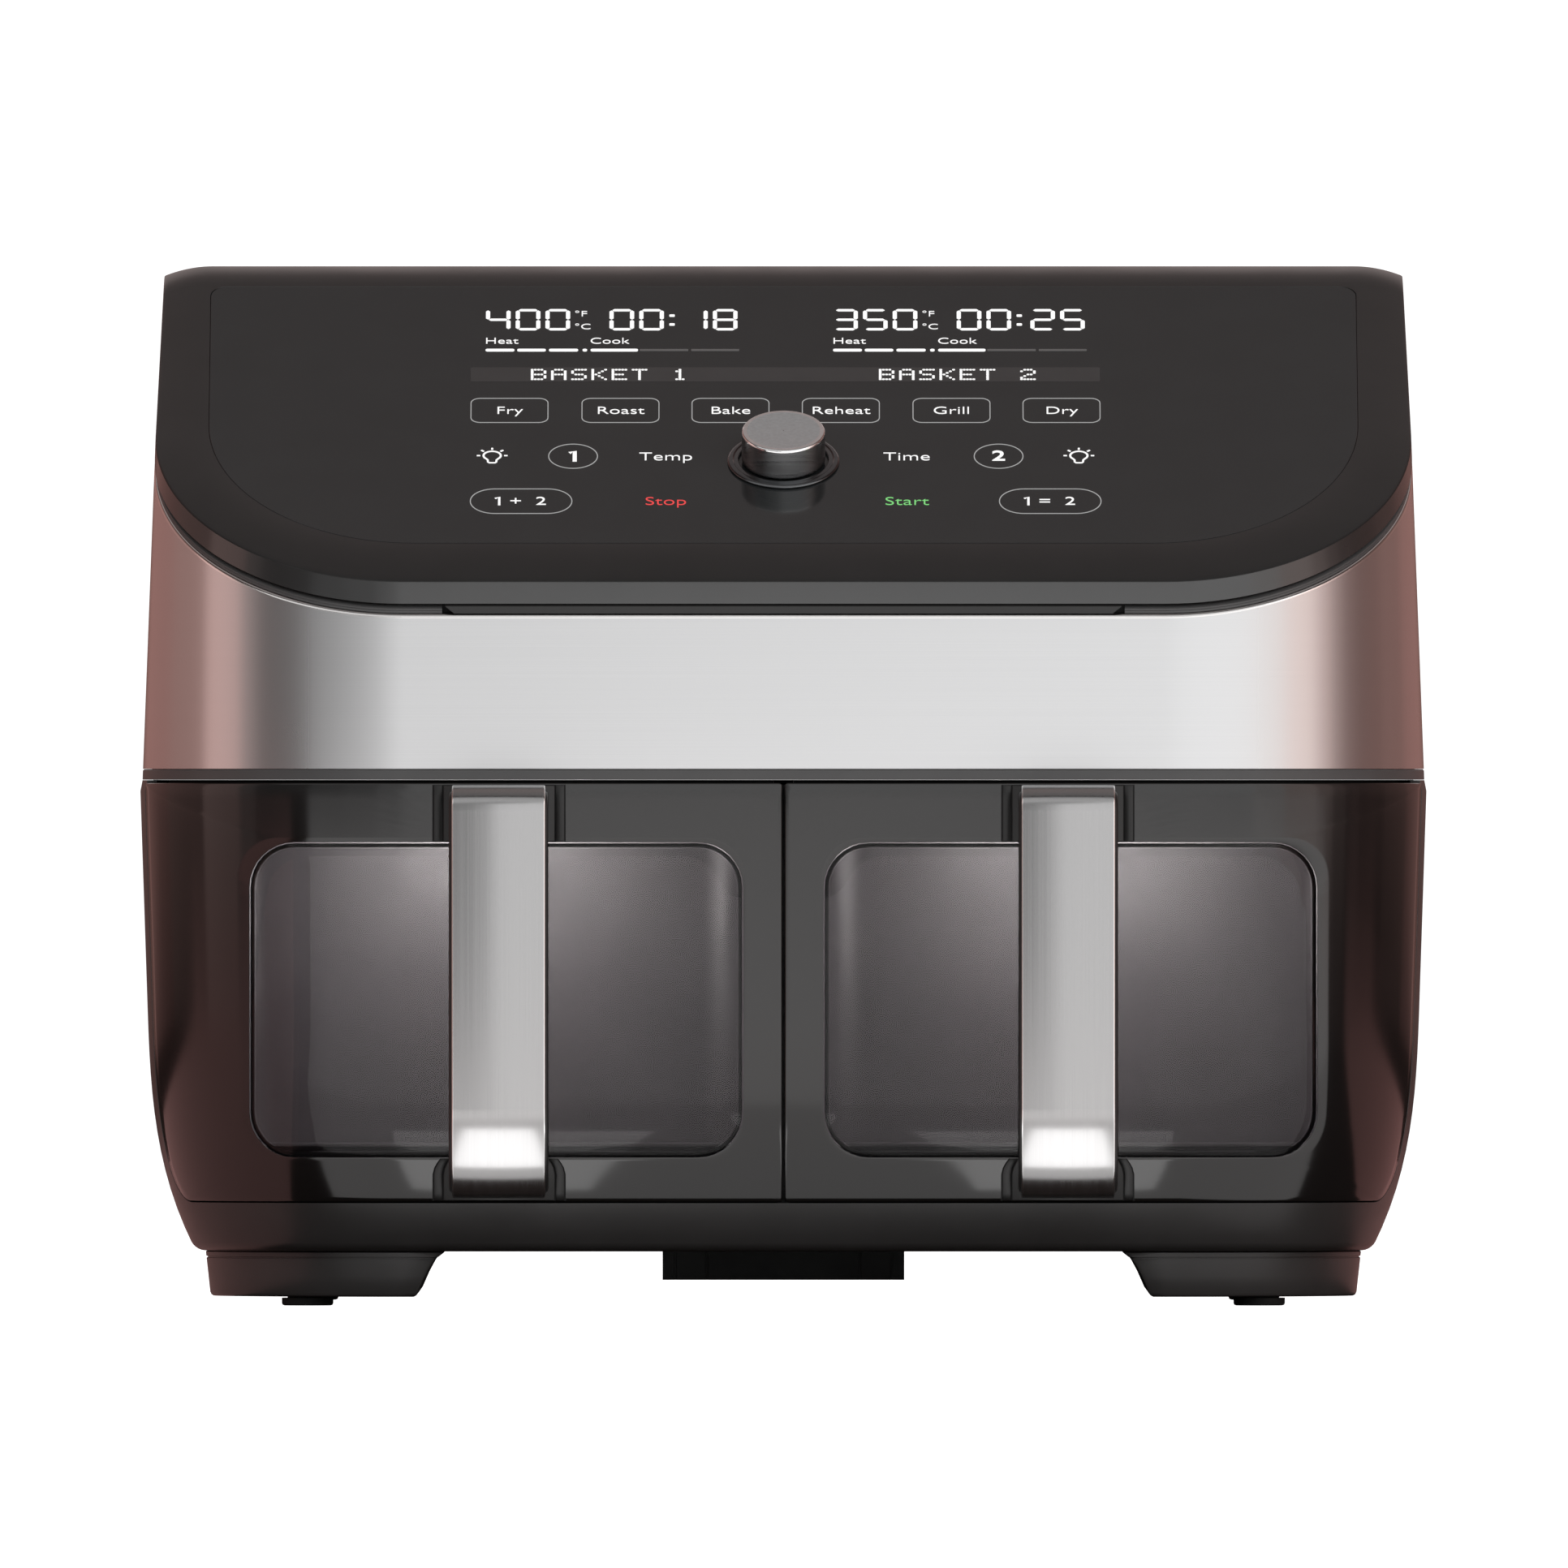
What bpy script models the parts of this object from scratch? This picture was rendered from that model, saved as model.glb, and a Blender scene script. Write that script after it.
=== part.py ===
"""Dual-drawer countertop air fryer, built as an assembly of separate pieces.

The front faces -Y, +X is to the right seen from the front, and the rubber feet stand on z = 0.
Lengths are written in millimetres and scaled to metres when a mesh is made.
"""
import math

import bmesh
import bpy
from mathutils import Matrix, Vector

MM = 0.001
GAP = 0.35                      # air left between pieces that touch

# Outer body: plan outline at its widest level, and how it draws in above and below
HALF_WIDTH = 200.4
FRONT_Y = -150.0
REAR_Y = 180.0
WIDEST_Z = 160.0
FRONT_CORNER = 82.0
REAR_CORNER = 36.0
FRONT_STEPS = 9
REAR_STEPS = 5
UPPER_HALF_WIDTH = 199.6        # steel band at its lower edge
UPPER_DRAFT = 0.038
LOWER_DRAFT = 0.033
TUCK_Z = 94.0                   # below this level the sides curl in towards the base
TUCK_SPAN = 75.6
TUCK_DEPTH = 11.8

# Levels
FOOT_Z = 2.8
BASE_Z = 16.9
SILL_Z = 32.0
DRAWER_TOP_Z = 162.3
DECK_Z = 163.5
STEEL_Z = 166.9
TUB_LEVELS = (BASE_Z, 24.0, 32.0, 42.0, 56.0, 72.0, TUCK_Z, 163.1)
DRAWER_LEVELS = (30.0, 40.0, 55.0, 72.0, TUCK_Z, WIDEST_Z, DRAWER_TOP_Z)

# Lid: crisp edge, sloped control panel and flat top
PANEL_ANGLE = math.radians(30.0)
EDGE_FRONT_Y = -146.5
EDGE_FRONT_Z = 225.4
FLAT_EDGE_Z = 321.3
RIDGE_RADIUS = 45.0
LIP = 7.1
JOINT_HEIGHT = 3.1              # open joint between the steel and the lid
ROLL_WIDTH = 15.0
ROLL_RISE = 3.0
LID_WALL = 2.5
LID_TOP_WALL = 5.2
PANEL_RECESS = 1.9
PANEL_GLASS = 1.5

SLOPE = math.tan(PANEL_ANGLE)
RIDGE_Y = EDGE_FRONT_Y + (FLAT_EDGE_Z - EDGE_FRONT_Z) / SLOPE
RIDGE_TANGENT = RIDGE_RADIUS * math.tan(PANEL_ANGLE / 2)
SLOPE_END_Y = RIDGE_Y - RIDGE_TANGENT * math.cos(PANEL_ANGLE)
FLAT_START_Y = RIDGE_Y + RIDGE_TANGENT
RIDGE_STATIONS = [SLOPE_END_Y + (FLAT_START_Y - SLOPE_END_Y) * k / 4 for k in range(5)]

# Touch panel in plan, and the dial on it
PANEL_HALF_WIDTH = 179.0
PANEL_FRONT_Y = EDGE_FRONT_Y + ROLL_WIDTH
PANEL_CORNER = 64.0
PANEL_END_Y = SLOPE_END_Y - 1.0
PANEL_REAR_CORNER = 5.0
DIAL_Y = -87.4
DIAL_Z = EDGE_FRONT_Z + ROLL_RISE + (DIAL_Y - EDGE_FRONT_Y) * SLOPE
DIAL_RADIUS = 13.0
DIAL_HEIGHT = 11.3
SHAFT_HOLE = 5.0

# Steel band and rear cover
STEEL_WALL = 1.5
STEEL_END_Y = 138.0
COVER_WALL = 2.5

# Drawer fronts, windows and handles
SEAM_Y = -84.0                  # where the drawer front meets the tub's side wall
SEAM_CORNER = 12.0
FASCIA = 9.0                    # depths are measured in from the outer skin
FRAME_BACK = 17.3
WINDOW_X = (12.5, 166.0)
WINDOW_Z = (46.2, 144.1)
WINDOW_CORNER = 14.0
OUTER_PANE = (0.5, 4.5)
INNER_PANE = (13.0, 16.0)
SEAL_WIDTH = 1.2
HANDLE_X = 88.3
STRAP_WIDTH = 29.0
CORE_WIDTH = 30.8
STRAP_THICKNESS = 1.5
CORE_THICKNESS = 6.0
HANDLE_FRONT_Y = -192.0
HANDLE_TOP_Z = 161.8
HANDLE_BOTTOM_Z = 33.6
HANDLE_TOP_BEND = 8.0
HANDLE_BOTTOM_BEND = 28.0
HANDLE_TOP_END_Y = -150.4
HANDLE_BOTTOM_END_Y = -142.9

# Basket, tray and chamber
BASKET_DEPTH = 18.5
BASKET_X = 7.0
BASKET_REAR_Y = 108.0
BASKET_CORNER = 18.0
BASKET_LEVELS = (36.5, 45.0, 55.0, 72.0, TUCK_Z, 150.0)
BASKET_WALL = 1.5
TRAY_Z = 48.0
TRAY_THICKNESS = 1.6
CHAMBER_X = (3.0, 184.2)
CHAMBER_Y = (-82.5, 120.0)
CHAMBER_Z = (33.6, 163.0)
SHEET = 1.2
DIVIDER_HALF = 2.0

# Hot air system above each chamber
AIR_X = 93.0
AIR_Y = -5.0
HOOD_RADIUS = 78.0
HOOD_TOP_Z = 206.5
DECK_HOLE = 74.0
ELEMENT_RADIUS = 58.0
ELEMENT_TUBE = 3.4
ELEMENT_Z = 174.0
ELEMENT_STEPS = 20
FAN_RADIUS = 52.0
FAN_Z = (184.0, 196.0)
COOLER_RADIUS = 30.0
COOLER_Z = (210.0, 218.0)
SHAFT_RADIUS = 3.0
SHAFT_TOP_Z = 234.0
MOTOR_RADIUS = 28.0
MOTOR_Z = (224.0, 262.0)

# Drawer switch behind each chamber
SWITCH_Z = 100.0
SWITCH_HALF = 8.0
SWITCH_END_Y = 140.0
SWITCH_BORE = 3.1
SWITCH_BORE_END_Y = 130.0
LINER_HOLE = 4.6
PLUNGER_Y = (108.6, 126.0)
PLUNGER_TIP = 3.9
PLUNGER_STEM = 2.6

# Base: wall, divider between the chambers, feet, spacer and cord gland
TUB_WALL = 3.0
DIVIDER_Y = (-116.0, 130.0)
DIVIDER_TOP_Z = 162.0
RAIL_SECTIONS = ((FOOT_Z, 178.5, 114.0), (9.0, 179.3, 112.0), (BASE_Z - GAP, 180.0, 106.0))
RAIL_REAR_Y = 150.0
RUBBER_FOOT_X = 148.0
RUBBER_FOOT_Y = (("front", -108.0), ("rear", 136.0))
SPACER_LOW = (-38.0, 122.0, 6.3)
SPACER_HIGH = (38.0, 192.0, BASE_Z - GAP)
SPACER_PLATE_LOW = (-34.0, 181.0, 10.0)
SPACER_PLATE_HIGH = (34.0, 191.9, 58.0)
GLAND_PLACE = (-120.0, 178.9, 110.0)

# Vents in the rear cover, tongue in the front joint, ring in the joint
VENT_ROWS = 6
VENT_FIRST_Z = 222.0
VENT_STEP = 9.0
VENT_HEIGHT = 3.5
VENT_HALF_WIDTH = 32.0
TONGUE_HALF_LOW = 102.3
TONGUE_HALF_HIGH = 105.0
TONGUE_DEPTH = 2.4
GASKET_DEPTHS = (3.0, 6.0)
GASKET_DROP = 3.0

# Basket opening behind the window, tray slots and feet
BASKET_OPENING = (12.0, 166.5, 45.8, 144.5)
BASKET_OPENING_CORNER = 14.2
BASKET_OPENING_Y = (-150.0, -90.0)
TRAY_MARGIN = 2.5
TRAY_SLOT = (34.0, 9.0)
TRAY_SLOT_FIRST = (28.0, -96.0)
TRAY_SLOT_STEP = (44.0, 32.0)
TRAY_SLOT_COUNT = (3, 6)
TRAY_FEET = ((24.0, -108.0), (150.0, -80.0), (24.0, 86.0), (158.0, 86.0))
TRAY_FOOT_HALF = 3.0

FAR = 230.0                     # beyond the body on either side, for cutting tools


# ---------------------------------------------------------------- scene and materials

def clear_scene():
    for item in list(bpy.data.objects):
        bpy.data.objects.remove(item)


def material(name, colour, roughness, metallic=0.0):
    made = bpy.data.materials.get(name)
    if made is None:
        made = bpy.data.materials.new(name)
        made.use_nodes = True
        shader = made.node_tree.nodes["Principled BSDF"]
        shader.inputs["Base Color"].default_value = (*colour, 1.0)
        shader.inputs["Roughness"].default_value = roughness
        shader.inputs["Metallic"].default_value = metallic
    return made


DARK_PLASTIC = ("dark_plastic", (0.030, 0.029, 0.028), 0.45)
GREY_PLASTIC = ("grey_plastic", (0.110, 0.108, 0.106), 0.40)
BLACK_PLASTIC = ("black_plastic", (0.012, 0.012, 0.012), 0.50)
PANEL_GLOSS = ("panel_gloss", (0.035, 0.034, 0.034), 0.15)
STEEL = ("steel", (0.620, 0.600, 0.590), 0.30, 1.0)
SHEET_METAL = ("sheet_metal", (0.450, 0.450, 0.450), 0.40, 1.0)
COATED = ("coated_metal", (0.050, 0.048, 0.050), 0.50, 0.3)
GLASS = ("tinted_glass", (0.150, 0.140, 0.160), 0.05)
RUBBER = ("rubber", (0.020, 0.020, 0.020), 0.80)
SILICONE = ("silicone", (0.040, 0.040, 0.040), 0.70)
BOARD = ("circuit_board", (0.020, 0.150, 0.060), 0.50)
LAMP_GLASS = ("lamp_glass", (0.900, 0.850, 0.700), 0.20)


# ---------------------------------------------------------------- mesh helpers

def finish_mesh(name, mesh_builder, look):
    """Turn a bmesh in millimetres into an object in metres with outward faces."""
    bmesh.ops.recalc_face_normals(mesh_builder, faces=mesh_builder.faces)
    bmesh.ops.scale(mesh_builder, vec=(MM, MM, MM), verts=mesh_builder.verts)
    mesh = bpy.data.meshes.new(name)
    mesh_builder.to_mesh(mesh)
    mesh_builder.free()
    piece = bpy.data.objects.new(name, mesh)
    bpy.context.scene.collection.objects.link(piece)
    mesh.materials.append(material(*look))
    return piece


def skin(name, loops, look, caps="flat", ring=False, matrix=None):
    """Cover a row of loops with quads.

    caps "flat" closes both ends with one face, "strips" with quads across x between mirrored
    points; ring=True joins the last loop to the first instead.
    """
    builder = bmesh.new()
    rows = [[builder.verts.new(Vector(p)) for p in loop] for loop in loops]
    size = len(rows[0])
    pairs = list(zip(rows, rows[1:]))
    if ring:
        pairs.append((rows[-1], rows[0]))
    for low, high in pairs:
        for k in range(size):
            after = (k + 1) % size
            builder.faces.new((low[k], low[after], high[after], high[k]))
    if not ring:
        for row in (rows[0], rows[-1]):
            if caps == "flat":
                builder.faces.new(row)
            else:
                for k in range(size // 2 - 1):
                    builder.faces.new((row[k], row[k + 1], row[size - 2 - k], row[size - 1 - k]))
    if matrix is not None:
        bmesh.ops.transform(builder, matrix=matrix, verts=builder.verts)
    return finish_mesh(name, builder, look)


def box(name, low, high, look, matrix=None):
    x0, y0, z0 = low
    x1, y1, z1 = high
    loops = [[(x0, y0, z), (x1, y0, z), (x1, y1, z), (x0, y1, z)] for z in (z0, z1)]
    return skin(name, loops, look, matrix=matrix)


def turned(name, profile, look, matrix, steps=24, ring=False):
    """Turn (radius, height) points about the local z axis."""
    loops = []
    for radius, height in profile:
        angles = [2 * math.pi * k / steps for k in range(steps)]
        loops.append([(radius * math.cos(a), radius * math.sin(a), height) for a in angles])
    return skin(name, loops, look, ring=ring, matrix=matrix)


def tube(name, path, radius, look, steps=6):
    """A round bar that follows a path which stays near one plane."""
    loops = []
    points = [Vector(p) for p in path]
    for k, point in enumerate(points):
        ahead = points[min(k + 1, len(points) - 1)]
        behind = points[max(k - 1, 0)]
        along = (ahead - behind).normalized()
        side = along.cross(Vector((0.31, 0.17, 0.93))).normalized()
        other = along.cross(side)
        angles = [2 * math.pi * j / steps for j in range(steps)]
        loops.append([point + radius * (math.cos(a) * side + math.sin(a) * other) for a in angles])
    return skin(name, loops, look)


def combine(target, tool, operation):
    """Join ("UNION"), cut ("DIFFERENCE") or trim ("INTERSECT") the target with a tool."""
    modifier = target.modifiers.new(operation, "BOOLEAN")
    modifier.operation = operation
    modifier.object = tool
    bpy.context.view_layer.update()
    graph = bpy.context.evaluated_depsgraph_get()
    mesh = bpy.data.meshes.new_from_object(target.evaluated_get(graph))
    target.modifiers.remove(modifier)
    target.data = mesh
    bpy.data.objects.remove(tool)
    return target


def mirrored(piece, name):
    """The left-hand twin of a right-hand piece."""
    twin = piece.copy()
    twin.name = name
    twin.data = piece.data.copy()
    builder = bmesh.new()
    builder.from_mesh(twin.data)
    bmesh.ops.scale(builder, vec=(-1, 1, 1), verts=builder.verts)
    bmesh.ops.reverse_faces(builder, faces=builder.faces)
    builder.to_mesh(twin.data)
    builder.free()
    bpy.context.scene.collection.objects.link(twin)
    return twin


def pair(build):
    """Build right_NAME and mirror it to left_NAME; return both."""
    right = build()
    return right, mirrored(right, right.name.replace("right_", "left_"))


def arc(cx, cy, radius, start, end, steps):
    """Points of an arc, angles in degrees."""
    angles = [math.radians(start + (end - start) * k / steps) for k in range(steps + 1)]
    return [(cx + radius * math.cos(a), cy + radius * math.sin(a)) for a in angles]


def rounded_rectangle(x0, x1, y0, y1, radius, steps=5):
    points = arc(x1 - radius, y0 + radius, radius, -90, 0, steps)
    points += arc(x1 - radius, y1 - radius, radius, 0, 90, steps)
    points += arc(x0 + radius, y1 - radius, radius, 90, 180, steps)
    points += arc(x0 + radius, y0 + radius, radius, 180, 270, steps)
    return points


# ---------------------------------------------------------------- shape of the body

def inset(z):
    """How far the skin stands inside the widest outline at height z."""
    if z > DECK_Z - 0.2:
        return HALF_WIDTH - UPPER_HALF_WIDTH + UPPER_DRAFT * (z - STEEL_Z)
    tuck = max(0.0, TUCK_Z - z) / TUCK_SPAN
    return LOWER_DRAFT * max(0.0, WIDEST_Z - z) + TUCK_DEPTH * tuck ** 3


def lid_edge(y):
    """Height of the lid's crisp edge: slope, round ridge, flat top."""
    if y <= SLOPE_END_Y:
        return EDGE_FRONT_Z + (y - EDGE_FRONT_Y) * SLOPE
    if y >= FLAT_START_Y:
        return FLAT_EDGE_Z
    return FLAT_EDGE_Z - RIDGE_RADIUS + math.sqrt(RIDGE_RADIUS ** 2 - (FLAT_START_Y - y) ** 2)


def panel_plane(y):
    return EDGE_FRONT_Z + ROLL_RISE + (y - EDGE_FRONT_Y) * SLOPE


def front_arc(d):
    return arc(HALF_WIDTH - FRONT_CORNER, FRONT_Y + FRONT_CORNER, FRONT_CORNER - d, -90, 0, FRONT_STEPS)


def rear_arc(d):
    return arc(HALF_WIDTH - REAR_CORNER, REAR_Y - REAR_CORNER, REAR_CORNER - d, 0, 90, REAR_STEPS)


def whole_half(d, stations=()):
    """Right half of the plan outline moved in by d, front centre to rear centre."""
    return front_arc(d) + [(HALF_WIDTH - d, y) for y in stations] + rear_arc(d)


def lifted(half, depth, level):
    """Points of a half outline, `depth` inside the skin, at a height or at level(y)."""
    count = len(half(0.0))
    points = []
    for k in range(count):
        z = level if not callable(level) else lid_edge(0.0)
        for _ in range(6):
            x, y = half(inset(z) + depth)[k]
            z = level(y) if callable(level) else level
        points.append((x, y, z))
    return points


def both_sides(half_points):
    return half_points + [(-x, y, z) for x, y, z in reversed(half_points)]


def body_loop(depth, level, stations=()):
    return both_sides(lifted(lambda d: whole_half(d, stations), depth, level))


def strip_sections(half, depths, bottom, top, whole):
    """Cross-sections of an upright strip along a half outline, or along both halves."""
    outer, inner = depths
    rows = [lifted(half, outer, bottom), lifted(half, outer, top)]
    rows += [lifted(half, inner, top), lifted(half, inner, bottom)]
    if whole:
        rows = [[(-x, y, z) for x, y, z in reversed(row)] + row for row in rows]
    return list(zip(*rows))


def prism_x(points, x0, x1, look=DARK_PLASTIC):
    """A (y, z) polygon extruded along x."""
    return skin("prism", [[(x, y, z) for y, z in points] for x in (x0, x1)], look)


def prism_y(points, y0, y1, look=DARK_PLASTIC):
    """An (x, z) polygon extruded along y."""
    return skin("prism", [[(x, y, z) for x, z in points] for y in (y0, y1)], look)


def upright(x, y, z=0.0):
    return Matrix.Translation((x, y, z))


def along_y(x, y, z):
    """A local frame whose z axis points to the rear."""
    return Matrix.Translation((x, y, z)) @ Matrix.Rotation(-math.pi / 2, 4, "X")


DIAL_FRAME = Matrix.Translation((0.0, DIAL_Y, DIAL_Z)) @ Matrix.Rotation(PANEL_ANGLE, 4, "X")


# ---------------------------------------------------------------- housing

def drawer_zone(gap):
    """Side profile of the space the drawer fronts fill, with its rounded lower rear corner."""
    y, z, r = SEAM_Y - gap, SILL_Z + gap, SEAM_CORNER
    corner = arc(y - r, z + r, r, -90, 0, 5)
    return [(-FAR, z)] + corner + [(y, FAR), (-FAR, FAR)]


def base_tub():
    outer = [body_loop(0.0, z) for z in TUB_LEVELS]
    inner = [body_loop(TUB_WALL, z) for z in (BASE_Z + TUB_WALL,) + TUB_LEVELS[1:]]
    tub = skin("base_tub", outer + inner[::-1], DARK_PLASTIC)
    combine(tub, prism_x(drawer_zone(0.0), -FAR, FAR), "DIFFERENCE")
    front, rear = DIVIDER_Y
    low, high = (-DIVIDER_HALF, front, BASE_Z + 1), (DIVIDER_HALF, rear, DIVIDER_TOP_Z)
    divider = box("divider", low, high, DARK_PLASTIC)
    return combine(tub, divider, "UNION")


def foot_rail():
    """Block under one side of the base; its front and outer faces follow the body's corner."""
    loops = []
    for z, outer_x, inner_x in RAIL_SECTIONS:
        d = HALF_WIDTH - outer_x
        plan = [(inner_x, FRONT_Y + d)] + front_arc(d) + [(outer_x, RAIL_REAR_Y), (inner_x, RAIL_REAR_Y)]
        loops.append([(x, y, z) for x, y in plan])
    return skin("right_foot_rail", loops, DARK_PLASTIC)


def rubber_feet():
    for side, x in (("left", -RUBBER_FOOT_X), ("right", RUBBER_FOOT_X)):
        for end, y in RUBBER_FOOT_Y:
            profile = [(7.0, 0.0), (8.0, 0.8), (8.0, FOOT_Z - GAP)]
            turned(f"{end}_{side}_foot", profile, RUBBER, upright(x, y), steps=16)


def rear_spacer():
    """Block that keeps the back of the appliance off a wall."""
    spacer = box("rear_spacer", SPACER_LOW, SPACER_HIGH, BLACK_PLASTIC)
    return combine(spacer, box("plate", SPACER_PLATE_LOW, SPACER_PLATE_HIGH, BLACK_PLASTIC), "UNION")


def deck_plate():
    deck = skin("deck_plate", [body_loop(0.0, z) for z in (DECK_Z, STEEL_Z - GAP)], GREY_PLASTIC)
    for x in (-AIR_X, AIR_X):
        profile = [(DECK_HOLE, DECK_Z - 5), (DECK_HOLE, STEEL_Z + 5)]
        combine(deck, turned("hole", profile, GREY_PLASTIC, upright(x, AIR_Y), steps=32), "DIFFERENCE")
    return deck


def steel_top(y):
    return lid_edge(y) - LIP - JOINT_HEIGHT


def steel_band():
    def half(d):
        stations = RIDGE_STATIONS + [STEEL_END_Y]
        return front_arc(d) + [(HALF_WIDTH - d, y) for y in stations]
    return skin("steel_band", strip_sections(half, (0.0, STEEL_WALL), STEEL_Z, steel_top, True), STEEL)


def rear_cover():
    """Back panel with two fields of vent slots."""
    def half(d):
        return [(x, y) for x, y in reversed([(HALF_WIDTH - d, STEEL_END_Y + GAP)] + rear_arc(d))]
    rows = strip_sections(half, (0.0, COVER_WALL), STEEL_Z, steel_top, False)
    rows = rows[::-1] + [[(-x, y, z) for x, y, z in row] for row in rows]
    cover = skin("rear_cover", rows, BLACK_PLASTIC)
    for x in (-AIR_X, AIR_X):
        for k in range(VENT_ROWS):
            z = VENT_FIRST_Z + VENT_STEP * k
            low = (x - VENT_HALF_WIDTH, STEEL_END_Y, z)
            high = (x + VENT_HALF_WIDTH, FAR, z + VENT_HEIGHT)
            combine(cover, box("slot", low, high, BLACK_PLASTIC), "DIFFERENCE")
    return cover


def lid_gasket():
    """Dark ring inside the joint between the steel and the lid."""
    def low(y):
        return lid_edge(y) - LIP - JOINT_HEIGHT - GASKET_DROP

    def high(y):
        return lid_edge(y) - LIP - GAP
    outer, inner = GASKET_DEPTHS
    loops = [body_loop(outer, low, RIDGE_STATIONS), body_loop(outer, high, RIDGE_STATIONS)]
    loops += [body_loop(inner, high, RIDGE_STATIONS), body_loop(inner, low, RIDGE_STATIONS)]
    return skin("lid_gasket", loops, BLACK_PLASTIC, ring=True)


def lid_trim():
    """Tongue that closes the middle of the front joint, with slanted ends."""
    front = FRONT_Y + inset(EDGE_FRONT_Z - LIP - JOINT_HEIGHT)
    loops = []
    for y in (front, front + TONGUE_DEPTH):
        low = steel_top(y) + GAP
        high = EDGE_FRONT_Z - LIP + (y - EDGE_FRONT_Y) * SLOPE - GAP
        loops.append([(-TONGUE_HALF_LOW, y, low), (TONGUE_HALF_LOW, y, low),
                      (TONGUE_HALF_HIGH, y, high), (-TONGUE_HALF_HIGH, y, high)])
    return skin("lid_trim", loops, GREY_PLASTIC)


def lid_shell():
    def lip_bottom(y):
        return lid_edge(y) - LIP

    def inner_top(y):
        return lid_edge(y) + ROLL_RISE - LID_TOP_WALL

    def rolled(share):
        return lambda y: lid_edge(y) + ROLL_RISE * (1 - (1 - share) ** 2)

    loops = [body_loop(ROLL_WIDTH, inner_top, RIDGE_STATIONS)]
    loops.append(body_loop(LID_WALL, inner_top, RIDGE_STATIONS))
    loops.append(body_loop(LID_WALL, lip_bottom, RIDGE_STATIONS))
    loops.append(body_loop(0.0, lip_bottom, RIDGE_STATIONS))
    loops.append(body_loop(0.0, lid_edge, RIDGE_STATIONS))
    for share in (0.25, 0.55, 1.0):
        loops.append(body_loop(ROLL_WIDTH * share, rolled(share), RIDGE_STATIONS))
    lid = skin("lid_shell", loops, DARK_PLASTIC, caps="strips")
    pocket = [panel_loop(GAP, -PANEL_RECESS), panel_loop(GAP, 20.0)]
    combine(lid, skin("pocket", pocket, DARK_PLASTIC, caps="strips"), "DIFFERENCE")
    hole = turned("hole", [(SHAFT_HOLE, -20.0), (SHAFT_HOLE, 20.0)], DARK_PLASTIC, DIAL_FRAME, steps=16)
    return combine(lid, hole, "DIFFERENCE")


# ---------------------------------------------------------------- controls

def panel_loop(grow, rise):
    """Outline of the touch panel, grown in plan, `rise` above the panel plane."""
    x, y, r = PANEL_HALF_WIDTH + grow, PANEL_FRONT_Y - grow, PANEL_CORNER + grow
    rear, small = PANEL_END_Y + grow, PANEL_REAR_CORNER
    half = arc(x - r, y + r, r, -90, 0, 8)
    half += arc(x - small, rear - small, small, 0, 90, 3)
    return both_sides([(px, py, panel_plane(py) + rise) for px, py in half])


def touch_panel():
    loops = [panel_loop(0.0, -PANEL_GLASS), panel_loop(0.0, 0.0)]
    panel = skin("touch_panel", loops, PANEL_GLOSS, caps="strips")
    hole = turned("hole", [(SHAFT_HOLE, -20.0), (SHAFT_HOLE, 20.0)], PANEL_GLOSS, DIAL_FRAME, steps=16)
    return combine(panel, hole, "DIFFERENCE")


def dial_bezel():
    profile = [(14.0, GAP), (17.2, GAP), (17.2, 0.9), (16.4, 1.5), (14.0, 1.5)]
    return turned("dial_bezel", profile, GREY_PLASTIC, DIAL_FRAME, steps=32, ring=True)


def dial():
    """Grip with a bevelled rim on a short shaft that reaches into the encoder."""
    top, rim = DIAL_HEIGHT, DIAL_RADIUS
    profile = [(2.8, -7.0), (2.8, 0.8), (rim, 0.8), (rim, top - 0.9), (rim - 0.9, top)]
    return turned("dial", profile, GREY_PLASTIC, DIAL_FRAME, steps=32)


def encoder():
    profile = [(7.0, -12.0), (7.0, -6.0), (4.5, -6.0), (4.5, -0.2), (3.2, -0.2), (3.2, -9.0)]
    return turned("encoder", profile, BLACK_PLASTIC, DIAL_FRAME, steps=16)


def control_board():
    """Board under the panel with the display block on it."""
    board = box("control_board", (-140.0, -45.0, -14.4), (140.0, 75.0, -12.8), BOARD, DIAL_FRAME)
    display = box("display", (-122.0, 22.0, -13.5), (122.0, 70.0, -7.0), BOARD, DIAL_FRAME)
    return combine(board, display, "UNION")


def power_board():
    """Mains board on the deck behind the air hoods, with its tallest components."""
    board = box("power_board", (-80.0, 84.0, 172.0), (80.0, 165.0, 173.6), BOARD)
    parts = (((-62.0, 100.0), (-26.0, 136.0), 199.0), ((-8.0, 98.0), (14.0, 118.0), 193.0),
             ((30.0, 104.0), (60.0, 128.0), 189.0))
    for low, high, top in parts:
        combine(board, box("component", (*low, 173.0), (*high, top), BOARD), "UNION")
    for x in (-74.0, 74.0):
        for y in (90.0, 159.0):
            leg = turned("leg", [(3.0, STEEL_Z + 0.1), (3.0, 172.8)], BOARD, upright(x, y), steps=8)
            combine(board, leg, "UNION")
    return board


def cord_gland():
    profile = [(3.5, 0.0), (11.0, 0.0), (11.0, 2.6), (7.0, 2.6), (5.6, 12.4), (3.5, 12.4)]
    return turned("cord_gland", profile, BLACK_PLASTIC, along_y(*GLAND_PLACE), steps=20, ring=True)


# ---------------------------------------------------------------- cooking chambers and hot air

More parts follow.
